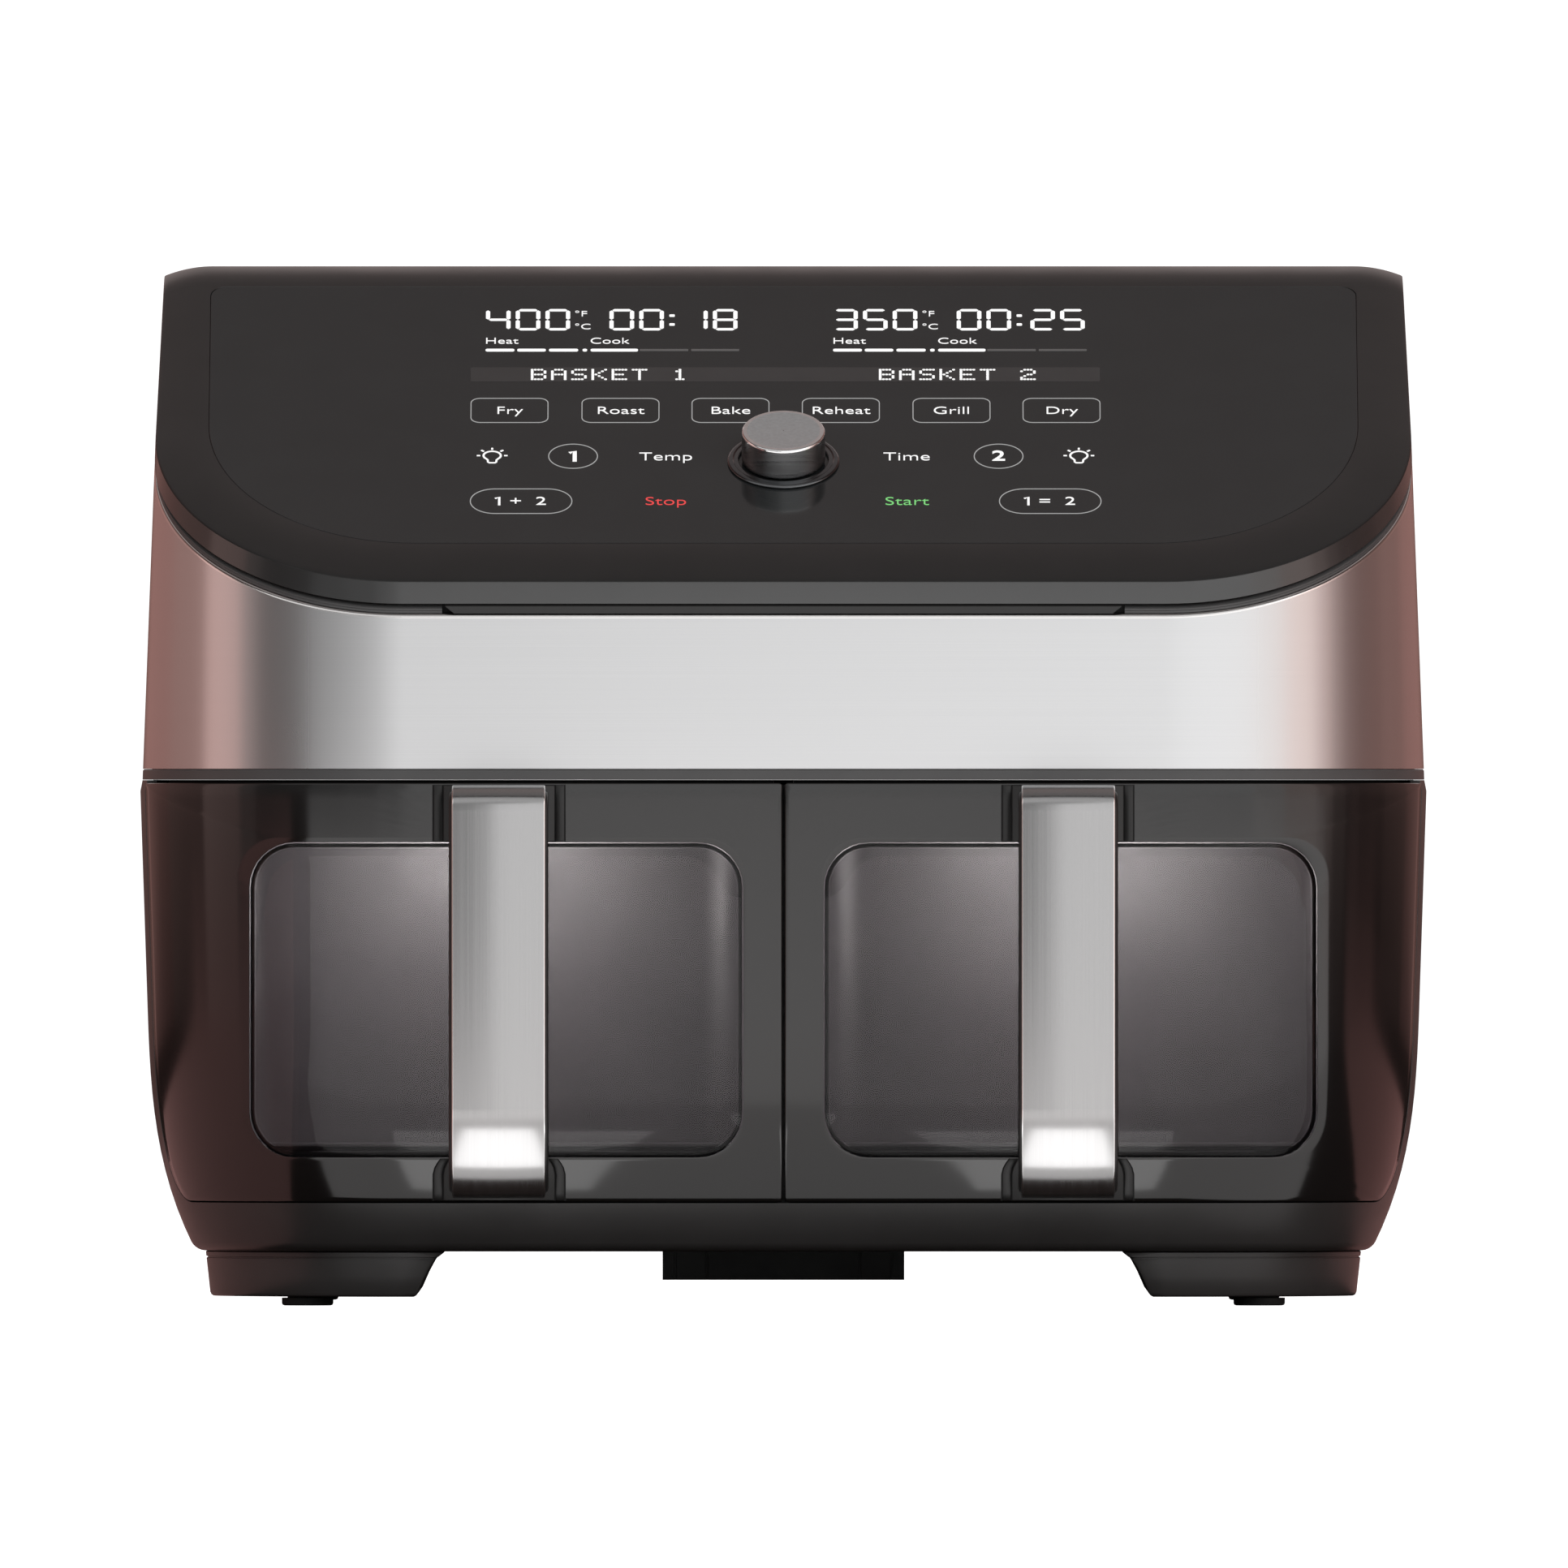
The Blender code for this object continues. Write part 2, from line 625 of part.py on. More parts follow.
def chamber():
    """Sheet-metal liner, open to the front and to the deck above."""
    low = (CHAMBER_X[0], CHAMBER_Y[0], CHAMBER_Z[0])
    high = (CHAMBER_X[1], CHAMBER_Y[1], CHAMBER_Z[1])
    liner = box("right_chamber", low, high, SHEET_METAL)
    inner_low = (low[0] + SHEET, low[1] - 9.0, low[2] + SHEET)
    inner_high = (high[0] - SHEET, high[1] - SHEET, high[2] + 9.0)
    combine(liner, box("inside", inner_low, inner_high, SHEET_METAL), "DIFFERENCE")
    at_hole = along_y(AIR_X, CHAMBER_Y[1], SWITCH_Z)
    hole = turned("hole", [(LINER_HOLE, -5.0), (LINER_HOLE, 5.0)], SHEET_METAL, at_hole, steps=12)
    return combine(liner, hole, "DIFFERENCE")


def air_hood():
    r, top, wall = HOOD_RADIUS, HOOD_TOP_Z, 1.5
    outer = [(SHAFT_HOLE, top), (r - 8, top), (r, top - 8), (r, STEEL_Z)]
    inner = [(r - wall, STEEL_Z), (r - wall, top - 8.6), (r - 8.6, top - wall), (SHAFT_HOLE, top - wall)]
    return turned("right_air_hood", outer + inner, SHEET_METAL, upright(AIR_X, AIR_Y), steps=28, ring=True)


def heating_element():
    """Round bar bent into an open ring, both ends turned up."""
    bend, rise = 22.0, 26.0
    path = []
    for k in range(ELEMENT_STEPS + 1):
        a = math.radians(bend + (360 - 2 * bend) * k / ELEMENT_STEPS - 90)
        path.append((AIR_X + ELEMENT_RADIUS * math.cos(a), AIR_Y + ELEMENT_RADIUS * math.sin(a), ELEMENT_Z))
    first, last = Vector(path[0]), Vector(path[-1])
    step = Vector((0.0, 0.0, rise))
    path = [first + step, first + step * 0.22] + path[1:-1] + [last + step * 0.22, last + step]
    return tube("right_heating_element", path, ELEMENT_TUBE, SHEET_METAL)


def element_guard():
    """Slotted disc in the deck opening, below the element."""
    radius = DECK_HOLE - 0.5
    guard = turned("right_element_guard", [(radius, DECK_Z + 0.4), (radius, DECK_Z + 1.8)], SHEET_METAL,
                   upright(AIR_X, AIR_Y), steps=32)
    for k in range(12):
        turn = upright(AIR_X, AIR_Y) @ Matrix.Rotation(math.radians(30 * k), 4, "Z")
        slot = box("slot", (18.0, -3.5, DECK_Z - 5), (64.0, 3.5, DECK_Z + 5), SHEET_METAL, turn)
        combine(guard, slot, "DIFFERENCE")
    return guard


def add_blades(rotor, count, radius, levels, pitch):
    low, high = levels
    for k in range(count):
        turn = upright(AIR_X, AIR_Y, (low + high) / 2)
        turn = turn @ Matrix.Rotation(math.radians(360 * k / count), 4, "Z")
        turn = turn @ Matrix.Rotation(math.radians(pitch), 4, "X")
        half_height = (high - low) / 2 - 0.7
        blade = box("blade", (6.0, -0.6, -half_height), (radius, 0.6, half_height), SHEET_METAL, turn)
        combine(rotor, blade, "UNION")


def fan_rotor():
    """Shaft with the hot-air wheel below the hood and the cooling wheel above it."""
    s = SHAFT_RADIUS
    profile = [(12.0, FAN_Z[0]), (12.0, FAN_Z[1]), (s, FAN_Z[1]), (s, COOLER_Z[0]), (9.0, COOLER_Z[0]),
               (9.0, COOLER_Z[1]), (s, COOLER_Z[1]), (s, SHAFT_TOP_Z)]
    rotor = turned("right_fan_rotor", profile, SHEET_METAL, upright(AIR_X, AIR_Y), steps=16)
    add_blades(rotor, 6, FAN_RADIUS, FAN_Z, 35.0)
    add_blades(rotor, 5, COOLER_RADIUS, COOLER_Z, 35.0)
    return rotor


def motor():
    """Motor can on a bridge whose two legs stand on the hood; blind bore for the shaft."""
    low, high = MOTOR_Z
    profile = [(MOTOR_RADIUS, low), (MOTOR_RADIUS, high - 4), (MOTOR_RADIUS - 4, high)]
    can = turned("right_motor", profile, SHEET_METAL, upright(AIR_X, AIR_Y), steps=24)
    reach, half = 46.0, 14.0
    bridge_low, bridge_high = (AIR_X - reach, AIR_Y - half, low - 2), (AIR_X + reach, AIR_Y + half, low + 1)
    combine(can, box("bridge", bridge_low, bridge_high, SHEET_METAL), "UNION")
    for x0 in (AIR_X - reach, AIR_X + reach - 2.5):
        leg = box("leg", (x0, AIR_Y - half, HOOD_TOP_Z + GAP), (x0 + 2.5, AIR_Y + half, low), SHEET_METAL)
        combine(can, leg, "UNION")
    bore = turned("bore", [(SHAFT_RADIUS + 0.6, low - 5), (SHAFT_RADIUS + 0.6, SHAFT_TOP_Z + 1)], SHEET_METAL,
                  upright(AIR_X, AIR_Y), steps=16)
    return combine(can, bore, "DIFFERENCE")


def chamber_lamp():
    """Lamp under the deck, just behind the window."""
    profile = [(4.0, 153.6), (6.6, 155.6), (7.2, 158.5), (9.5, 158.5), (9.5, DECK_Z - GAP)]
    return turned("right_chamber_lamp", profile, LAMP_GLASS, upright(AIR_X, -104.0), steps=16)


def drawer_switch():
    low = (AIR_X - SWITCH_HALF, CHAMBER_Y[1] + GAP, SWITCH_Z - SWITCH_HALF)
    high = (AIR_X + SWITCH_HALF, SWITCH_END_Y, SWITCH_Z + SWITCH_HALF)
    body = box("right_drawer_switch", low, high, BLACK_PLASTIC)
    profile = [(SWITCH_BORE, CHAMBER_Y[1] - 5), (SWITCH_BORE, SWITCH_BORE_END_Y)]
    bore = turned("bore", profile, BLACK_PLASTIC, along_y(AIR_X, 0.0, SWITCH_Z), steps=12)
    return combine(body, bore, "DIFFERENCE")


def switch_plunger():
    tip, end = PLUNGER_Y
    profile = [(PLUNGER_TIP, tip), (PLUNGER_TIP, tip + 2.0), (PLUNGER_STEM, tip + 2.0), (PLUNGER_STEM, end)]
    return turned("right_switch_plunger", profile, RUBBER, along_y(AIR_X, 0.0, SWITCH_Z), steps=12)


# ---------------------------------------------------------------- drawers

def front_layer(name, depths, look, start_x):
    """Layer of the drawer front between two depths, from near the middle round the corner."""
    def half(d):
        return [(start_x, FRONT_Y + d)] + front_arc(d)
    outer = [lifted(half, depths[0], z) for z in DRAWER_LEVELS]
    inner = [lifted(half, depths[1], z) for z in DRAWER_LEVELS]
    layer = skin(name, list(zip(*(outer + inner[::-1]))), look)
    return combine(layer, prism_x(drawer_zone(GAP), -10.0, FAR), "INTERSECT")


def window_prism(shrink):
    """Rounded opening of the window, drawn in by shrink and extruded along y."""
    x0, x1 = WINDOW_X
    z0, z1 = WINDOW_Z
    outline = rounded_rectangle(x0 + shrink, x1 - shrink, z0 + shrink, z1 - shrink, WINDOW_CORNER - shrink)
    return prism_y(outline, -170.0, -90.0)


def drawer_front():
    front = front_layer("right_drawer_front", (0.0, FASCIA), DARK_PLASTIC, 0.4)
    return combine(front, window_prism(0.0), "DIFFERENCE")


def drawer_frame():
    frame = front_layer("right_drawer_frame", (FASCIA + GAP, FRAME_BACK), BLACK_PLASTIC, 3.0)
    return combine(frame, window_prism(0.0), "DIFFERENCE")


def window_glass():
    return combine(front_layer("right_window_glass", OUTER_PANE, GLASS, 0.4), window_prism(GAP), "INTERSECT")


def inner_glass():
    pane = front_layer("right_inner_glass", INNER_PANE, GLASS, 3.0)
    return combine(pane, window_prism(SEAL_WIDTH + 2 * GAP), "INTERSECT")


def window_seal():
    ring = combine(front_layer("right_window_seal", INNER_PANE, SILICONE, 3.0), window_prism(GAP), "INTERSECT")
    return combine(ring, window_prism(SEAL_WIDTH + GAP), "DIFFERENCE")


def handle_line(t):
    """Side profile of the handle at distance t inside its outer face, top end to bottom end."""
    top, low = HANDLE_TOP_BEND, HANDLE_BOTTOM_BEND
    points = [(HANDLE_TOP_END_Y, HANDLE_TOP_Z - t)]
    points += arc(HANDLE_FRONT_Y + top, HANDLE_TOP_Z - top, top - t, 90, 180, 5)
    points += arc(HANDLE_FRONT_Y + low, HANDLE_BOTTOM_Z + low, low - t, 180, 270, 8)
    return points + [(HANDLE_BOTTOM_END_Y, HANDLE_BOTTOM_Z + t)]


def handle_bar(name, width, near, far, look):
    x0, x1 = HANDLE_X - width / 2, HANDLE_X + width / 2
    rows = []
    for (y0, z0), (y1, z1) in zip(handle_line(near), handle_line(far)):
        rows.append([(x0, y0, z0), (x1, y0, z0), (x1, y1, z1), (x0, y1, z1)])
    return skin(name, rows, look)


def handle_strap():
    return handle_bar("right_handle_strap", STRAP_WIDTH, 0.0, STRAP_THICKNESS, STEEL)


def handle_core():
    near = STRAP_THICKNESS + 0.3
    return handle_bar("right_handle_core", CORE_WIDTH, near, near + CORE_THICKNESS, BLACK_PLASTIC)


def basket_plan(d):
    """Plan of the basket wall: the front outer corner runs parallel to the body's corner."""
    x1, y0, r = HALF_WIDTH - d, FRONT_Y + d, BASKET_CORNER
    points = front_arc(d) + arc(x1 - r, BASKET_REAR_Y - r, r, 0, 90, 4)
    inner_x = BASKET_X + (d - BASKET_DEPTH) * 0.25
    points += arc(inner_x + r, BASKET_REAR_Y - r, r, 90, 180, 4)
    return points + arc(inner_x + r, y0 + r, r, 180, 270, 4)


def basket():
    outer = [[(x, y, z) for x, y in basket_plan(inset(z) + BASKET_DEPTH)] for z in BASKET_LEVELS]
    levels = (BASKET_LEVELS[0] + BASKET_WALL,) + BASKET_LEVELS[1:]
    inner = [[(x, y, z) for x, y in shrunk_basket(inset(z) + BASKET_DEPTH, BASKET_WALL)] for z in levels]
    pan = skin("right_basket", outer + inner[::-1], COATED)
    opening = rounded_rectangle(*BASKET_OPENING, BASKET_OPENING_CORNER)
    return combine(pan, prism_y(opening, *BASKET_OPENING_Y), "DIFFERENCE")


def shrunk_basket(d, wall):
    """The basket's plan moved in by a wall on every side."""
    points = []
    outline = basket_plan(d)
    for k, (x, y) in enumerate(outline):
        before, after = outline[k - 1], outline[(k + 1) % len(outline)]
        along = Vector((after[0] - before[0], after[1] - before[1])).normalized()
        points.append((x - wall * along.y, y + wall * along.x))
    return points


def crisper_tray():
    """Slotted tray that stands on four short legs inside the basket."""
    d = inset(TRAY_Z) + BASKET_DEPTH
    plan = shrunk_basket(d, BASKET_WALL + TRAY_MARGIN)
    levels = (TRAY_Z, TRAY_Z + TRAY_THICKNESS)
    tray = skin("right_crisper_tray", [[(x, y, z) for x, y in plan] for z in levels], COATED)
    columns, rows = TRAY_SLOT_COUNT
    width, depth = TRAY_SLOT
    for row in range(rows):
        y = TRAY_SLOT_FIRST[1] + TRAY_SLOT_STEP[1] * row
        for column in range(columns):
            x = TRAY_SLOT_FIRST[0] + TRAY_SLOT_STEP[0] * column
            slot = box("slot", (x, y, TRAY_Z - 5), (x + width, y + depth, TRAY_Z + 5), COATED)
            combine(tray, slot, "DIFFERENCE")
    floor, r = BASKET_LEVELS[0] + BASKET_WALL, TRAY_FOOT_HALF
    for x, y in TRAY_FEET:
        leg = box("leg", (x - r, y - r, floor + GAP), (x + r, y + r, TRAY_Z + 0.8), COATED)
        combine(tray, leg, "UNION")
    return tray


# ---------------------------------------------------------------- assembly

def pivot(name, x, y, z):
    empty = bpy.data.objects.new(name, None)
    empty.location = (x * MM, y * MM, z * MM)
    bpy.context.scene.collection.objects.link(empty)
    return empty


def attach(piece, holder):
    """Hang a piece on a pivot without moving it."""
    piece.data.transform(Matrix.Translation(-holder.location))
    piece.parent = holder


def build_housing():
    base_tub()
    rubber_feet()
    rear_spacer()
    deck_plate()
    steel_band()
    rear_cover()
    lid_gasket()
    lid_trim()
    lid_shell()
    touch_panel()
    dial_bezel()
    encoder()
    control_board()
    power_board()
    cord_gland()
    for build in (foot_rail, chamber, air_hood, heating_element, element_guard, motor, chamber_lamp,
                  drawer_switch):
        pair(build)


def build_moving():
    attach(dial(), pivot("dial_pivot", 0.0, DIAL_Y, DIAL_Z))
    drawers = [pivot("right_drawer_pivot", HANDLE_X, FRONT_Y, SILL_Z),
               pivot("left_drawer_pivot", -HANDLE_X, FRONT_Y, SILL_Z)]
    layers = (drawer_front, drawer_frame, window_glass, inner_glass, window_seal, handle_strap,
              handle_core, basket)
    for build in layers:
        for piece, holder in zip(pair(build), drawers):
            attach(piece, holder)
    singles = ((crisper_tray, "tray", (AIR_X, AIR_Y, TRAY_Z)), (fan_rotor, "fan", (AIR_X, AIR_Y, FAN_Z[0])),
               (switch_plunger, "plunger", (AIR_X, PLUNGER_Y[0], SWITCH_Z)))
    for build, label, (x, y, z) in singles:
        right, left = pair(build)
        attach(right, pivot(f"right_{label}_pivot", x, y, z))
        attach(left, pivot(f"left_{label}_pivot", -x, y, z))


def shade():
    for piece in bpy.data.objects:
        if piece.type == "MESH":
            piece.data.shade_smooth()
            piece.data.set_sharp_from_angle(angle=math.radians(35.0))


clear_scene()
build_housing()
build_moving()
shade()
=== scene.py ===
"""Looks of the dual-drawer air fryer: fine meshes, materials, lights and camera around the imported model.

Lengths in the geometry below are millimetres, scaled to metres when a mesh is made.
"""

import math

import bmesh
import bpy
from mathutils import Matrix, Vector


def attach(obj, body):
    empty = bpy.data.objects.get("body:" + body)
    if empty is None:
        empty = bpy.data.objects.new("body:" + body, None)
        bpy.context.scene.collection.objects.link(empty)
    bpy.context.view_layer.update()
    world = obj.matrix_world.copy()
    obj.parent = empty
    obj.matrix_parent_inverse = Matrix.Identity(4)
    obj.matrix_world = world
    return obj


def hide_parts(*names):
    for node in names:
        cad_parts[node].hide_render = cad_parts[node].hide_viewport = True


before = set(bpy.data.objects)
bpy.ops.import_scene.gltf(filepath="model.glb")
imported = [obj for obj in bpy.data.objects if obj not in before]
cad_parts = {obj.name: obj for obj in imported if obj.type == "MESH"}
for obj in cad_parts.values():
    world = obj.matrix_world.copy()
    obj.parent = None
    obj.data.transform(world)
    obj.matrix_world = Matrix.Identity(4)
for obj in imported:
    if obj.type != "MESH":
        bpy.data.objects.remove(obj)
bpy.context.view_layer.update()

MM = 0.001

# Camera: level, in front, with a long lens
LENS = 1600.0
SENSOR = 36.0
VIEW_WIDTH = 0.4868             # width of the picture at the body's front face, in metres
VIEW_HEIGHT_Z = 0.1622          # height of the picture's centre
VIEW_X = 0.00018

# Outer body, as in the frame
HALF_WIDTH = 200.4
FRONT_Y = -150.0
REAR_Y = 180.0
WIDEST_Z = 160.0
FRONT_CORNER = 82.0
REAR_CORNER = 36.0
UPPER_HALF_WIDTH = 199.6
UPPER_DRAFT = 0.038
LOWER_DRAFT = 0.033
TUCK_Z = 94.0
TUCK_SPAN = 75.6
TUCK_DEPTH = 11.8
FLAT_END = HALF_WIDTH - FRONT_CORNER
DECK_Z = 163.5
STEEL_Z = 166.9

# Lid
PANEL_ANGLE = math.radians(30.0)
SLOPE = math.tan(PANEL_ANGLE)
EDGE_FRONT_Y = -146.5
EDGE_FRONT_Z = 225.4
FLAT_EDGE_Z = 321.3
RIDGE_RADIUS = 45.0
LIP = 7.1
JOINT_HEIGHT = 3.1
JOINT_RING_START = 106.0
ROLL_WIDTH = 15.0
ROLL_RISE = 3.0
RIDGE_Y = EDGE_FRONT_Y + (FLAT_EDGE_Z - EDGE_FRONT_Z) / SLOPE
RIDGE_TANGENT = RIDGE_RADIUS * math.tan(PANEL_ANGLE / 2)
SLOPE_END_Y = RIDGE_Y - RIDGE_TANGENT * math.cos(PANEL_ANGLE)
FLAT_START_Y = RIDGE_Y + RIDGE_TANGENT
PANEL_HALF_WIDTH = 179.0
PANEL_CORNER = 64.0
DIAL_Y = -87.4
DIAL_Z = EDGE_FRONT_Z + ROLL_RISE + (DIAL_Y - EDGE_FRONT_Y) * SLOPE
DIAL_FRAME = Matrix.Translation((0.0, DIAL_Y, DIAL_Z)) @ Matrix.Rotation(PANEL_ANGLE, 4, "X")

# Steel, drawers and handles
STEEL_END_Y = 138.0
SEAM_Y = -84.0
SEAM_DROP = FRONT_Y + FRONT_CORNER - SEAM_Y
SEAM_CORNER = 12.0
FOOT_Z = 2.8
BASE_Z = 16.9
SILL_Z = 32.0
DRAWER_TOP_Z = 162.55
SKIRT_START_Y = -70.0
WINDOW_X = (12.5, 166.0)
WINDOW_Z = (46.2, 144.1)
WINDOW_CORNER = 14.0
HANDLE_X = 88.3
HANDLE_FRONT_Y = -192.0
HANDLE_TOP_Z = 161.8
HANDLE_BOTTOM_Z = 33.6
AIR_X = 93.0
AIR_Y = -5.0
SWITCH_Z = 100.0

# Ring of softboxes: from and to in degrees from the front, right positive, then radiance and colour
RING_Y = -0.1
RING_RADIUS = 2.6
RING_HEIGHT = 2.5
RING_MIDDLE_Z = 0.76
BODY_MIDDLE_Z = 0.16
LIGHT_RING = (
    (-160.0, -124.0, 0.16, (1.0, 0.50, 0.46)), (-124.0, -98.0, 0.16, (1.0, 0.62, 0.57)),
    (-98.0, -77.0, 0.60, (1.0, 0.69, 0.64)), (-77.0, -69.0, 0.26, (1.0, 0.86, 0.83)),
    (-69.0, -44.0, 0.09, (1.0, 0.93, 0.91)), (-44.0, -28.0, 0.28, (1.0, 1.0, 1.0)),
    (-28.0, -14.0, 0.36, (1.0, 1.0, 1.0)), (-14.0, -5.0, 0.56, (1.0, 1.0, 1.0)),
    (-5.0, 42.0, 1.10, (1.0, 1.0, 1.0)), (42.0, 56.0, 1.07, (1.0, 0.95, 0.93)),
    (56.0, 72.0, 1.06, (1.0, 0.81, 0.76)), (72.0, 80.0, 0.66, (1.0, 0.76, 0.71)),
    (80.0, 87.0, 0.28, (1.0, 0.72, 0.67)), (87.0, 95.0, 0.08, (1.0, 0.66, 0.62)),
    (112.0, 132.0, 0.06, (1.0, 0.60, 0.55)), (132.0, 160.0, 0.14, (1.0, 0.50, 0.46)),
)

# Cards on the floor that only reflections see: corners, height, radiance, colour
FLOOR_CARDS = (
    ("left_warm_card", ((-0.172, -0.13), (-2.10, -1.75), (-2.60, 0.60), (-0.172, 0.60)), 0.0006, 0.20,
     (1.0, 0.56, 0.53)),
    ("right_warm_card", ((0.185, -0.06), (0.185, 0.60), (2.60, 0.60), (2.40, -0.15)), 0.0006, 0.20,
     (1.0, 0.52, 0.49)),
    ("front_card", ((-0.43, -0.42), (-1.80, -1.97), (0.0, -2.70), (1.80, -1.95), (2.50, -0.75), (1.30, -0.36)),
     0.0010, 0.95, (1.0, 1.0, 1.0)),
    ("near_card", ((-0.168, -0.172), (-0.43, -0.42), (1.30, -0.36), (0.19, -0.135), (0.13, -0.172)), 0.0010, 0.62,
     (1.0, 1.0, 1.0)),
    ("left_handle_card", ((-0.137, -0.300), (-0.040, -0.300), (-0.060, -0.191), (-0.116, -0.191)), 0.0014, 2.3,
     (1.0, 1.0, 1.0)),
    ("right_handle_card", ((0.040, -0.300), (0.137, -0.300), (0.116, -0.191), (0.060, -0.191)), 0.0014, 2.3,
     (1.0, 1.0, 1.0)),
)

WHITE_STRENGTH = 1.15           # of the backdrop and the floor, as the camera sees them
FLOOR_HALF = 4.0

# Walls, clearances and inner parts
TUB_WALL = 3.0
GAP = 0.35
AIR_HOLE_RADIUS = 74.0
STEM_HOLE_RADIUS = 5.0
BASKET_DEPTH = 18.5             # from the skin to the pan
PAN_WALL = 1.5
TRAY_Z = 48.0
FRAME_LINE = 0.28               # width of the thin lines on the touch panel
FAR = 230.0                     # past every side of the body

# Fineness of the curves
FRONT_STEPS = 32
REAR_STEPS = 16


# ---------------------------------------------------------------- camera, light and floor

def make_camera():
    data = bpy.data.cameras.new("camera")
    data.lens = LENS
    data.sensor_width = SENSOR
    data.clip_end = 200.0
    camera = bpy.data.objects.new("camera", data)
    bpy.context.scene.collection.objects.link(camera)
    distance = VIEW_WIDTH * LENS / SENSOR
    camera.location = (VIEW_X, FRONT_Y * MM - distance, VIEW_HEIGHT_Z)
    camera.rotation_euler = (math.pi / 2, 0.0, 0.0)
    bpy.context.scene.camera = camera


def area_light(name, place, target, size, radiance, colour=(1.0, 1.0, 1.0)):
    """A one-sided softbox of the given radiance that the camera doesn't see."""
    data = bpy.data.lights.new(name, "AREA")
    data.shape = "RECTANGLE"
    data.size, data.size_y = size
    data.color = colour
    data.energy = radiance * math.pi * size[0] * size[1]
    lamp = bpy.data.objects.new(name, data)
    lamp.location = place
    aim = Vector(target) - Vector(place)
    lamp.rotation_euler = aim.to_track_quat("-Z", "Y").to_euler()
    lamp.visible_camera = False
    bpy.context.scene.collection.objects.link(lamp)


def make_lights():
    """Upright softboxes in a ring round the object, an overhead one and a lamp in each chamber."""
    for k, (start, end, radiance, colour) in enumerate(LIGHT_RING):
        angle, half = math.radians((start + end) / 2), math.radians((end - start) / 2)
        place = (RING_RADIUS * math.sin(angle), RING_Y - RING_RADIUS * math.cos(angle), RING_MIDDLE_Z)
        size = (2 * RING_RADIUS * math.tan(half), RING_HEIGHT)
        area_light(f"softbox_{k}", place, (0.0, RING_Y, RING_MIDDLE_Z), size, radiance, colour)
    tall = math.radians(50.0)
    place = (0.0, RING_Y - RING_RADIUS * math.cos(tall), BODY_MIDDLE_Z + RING_RADIUS * math.sin(tall))
    area_light("upper_front", place, (0.0, RING_Y, BODY_MIDDLE_Z), (6.5, 1.15), 0.72)
    area_light("overhead", (0.0, 0.6, 2.6), (0.0, 0.2, 0.2), (3.4, 3.2), 0.20)
    area_light("back_softbox", (0.0, 2.9, 1.6), (0.0, 0.0, BODY_MIDDLE_Z), (3.2, 1.6), 0.45, (1.0, 0.95, 0.94))
    for side, x in (("left", -AIR_X * MM), ("right", AIR_X * MM)):
        area_light(f"{side}_oven_light", (x, 0.020, 0.140), (x, 0.110, 0.085), (0.060, 0.030), 62.0,
                   (1.0, 0.94, 0.94))


def shader_node(tree, kind, **values):
    """Add a node to a tree; values sets its inputs by name, with _ for a space."""
    made = tree.nodes.new("ShaderNode" + kind)
    for key, value in values.items():
        made.inputs[key.replace("_", " ")].default_value = value
    return made


def wire(tree, *pairs):
    for source, target in pairs:
        tree.links.new(source, target)


def fill_ramp(ramp, stops):
    while len(ramp.elements) < len(stops):
        ramp.elements.new(0.5)
    for element, (position, colour) in zip(ramp.elements, stops):
        element.position = position
        element.color = (*colour, 1.0)


def make_world():
    """White to the camera, a dim warm studio to everything else."""
    world = bpy.data.worlds.new("studio")
    bpy.context.scene.world = world
    world.use_nodes = True
    tree = world.node_tree
    tree.nodes.clear()
    out, mix, path, place, split, ramp = [shader_node(tree, kind) for kind in (
        "OutputWorld", "MixShader", "LightPath", "TexCoord", "SeparateXYZ", "ValToRGB")]
    seen = shader_node(tree, "Background", Color=(1.0, 1.0, 1.0, 1.0), Strength=WHITE_STRENGTH)
    room = shader_node(tree, "Background")
    shift = shader_node(tree, "MapRange", From_Min=-1.0, From_Max=1.0)
    fade = shader_node(tree, "MapRange", From_Min=0.15, From_Max=0.80, To_Min=1.0, To_Max=0.45)
    fill_ramp(ramp.color_ramp, ((0.0, (0.10, 0.10, 0.10)), (0.25, (0.045, 0.043, 0.043)), (0.42, (0.10, 0.07, 0.065)),
                                (0.62, (0.22, 0.13, 0.115)), (1.0, (0.20, 0.105, 0.09))))
    wire(tree, (place.outputs["Generated"], split.inputs[0]), (split.outputs["Y"], shift.inputs["Value"]),
         (shift.outputs["Result"], ramp.inputs["Fac"]), (split.outputs["Z"], fade.inputs["Value"]),
         (fade.outputs["Result"], room.inputs["Strength"]), (ramp.outputs["Color"], room.inputs["Color"]),
         (path.outputs["Is Camera Ray"], mix.inputs["Fac"]), (room.outputs[0], mix.inputs[1]),
         (seen.outputs[0], mix.inputs[2]), (mix.outputs[0], out.inputs["Surface"]))


def stage_plane(name, corners, look):
    mesh = bpy.data.meshes.new(name)
    mesh.from_pydata(corners, [], [tuple(range(len(corners)))])
    plane = bpy.data.objects.new(name, mesh)
    bpy.context.scene.collection.objects.link(plane)
    mesh.materials.append(look)
    return plane


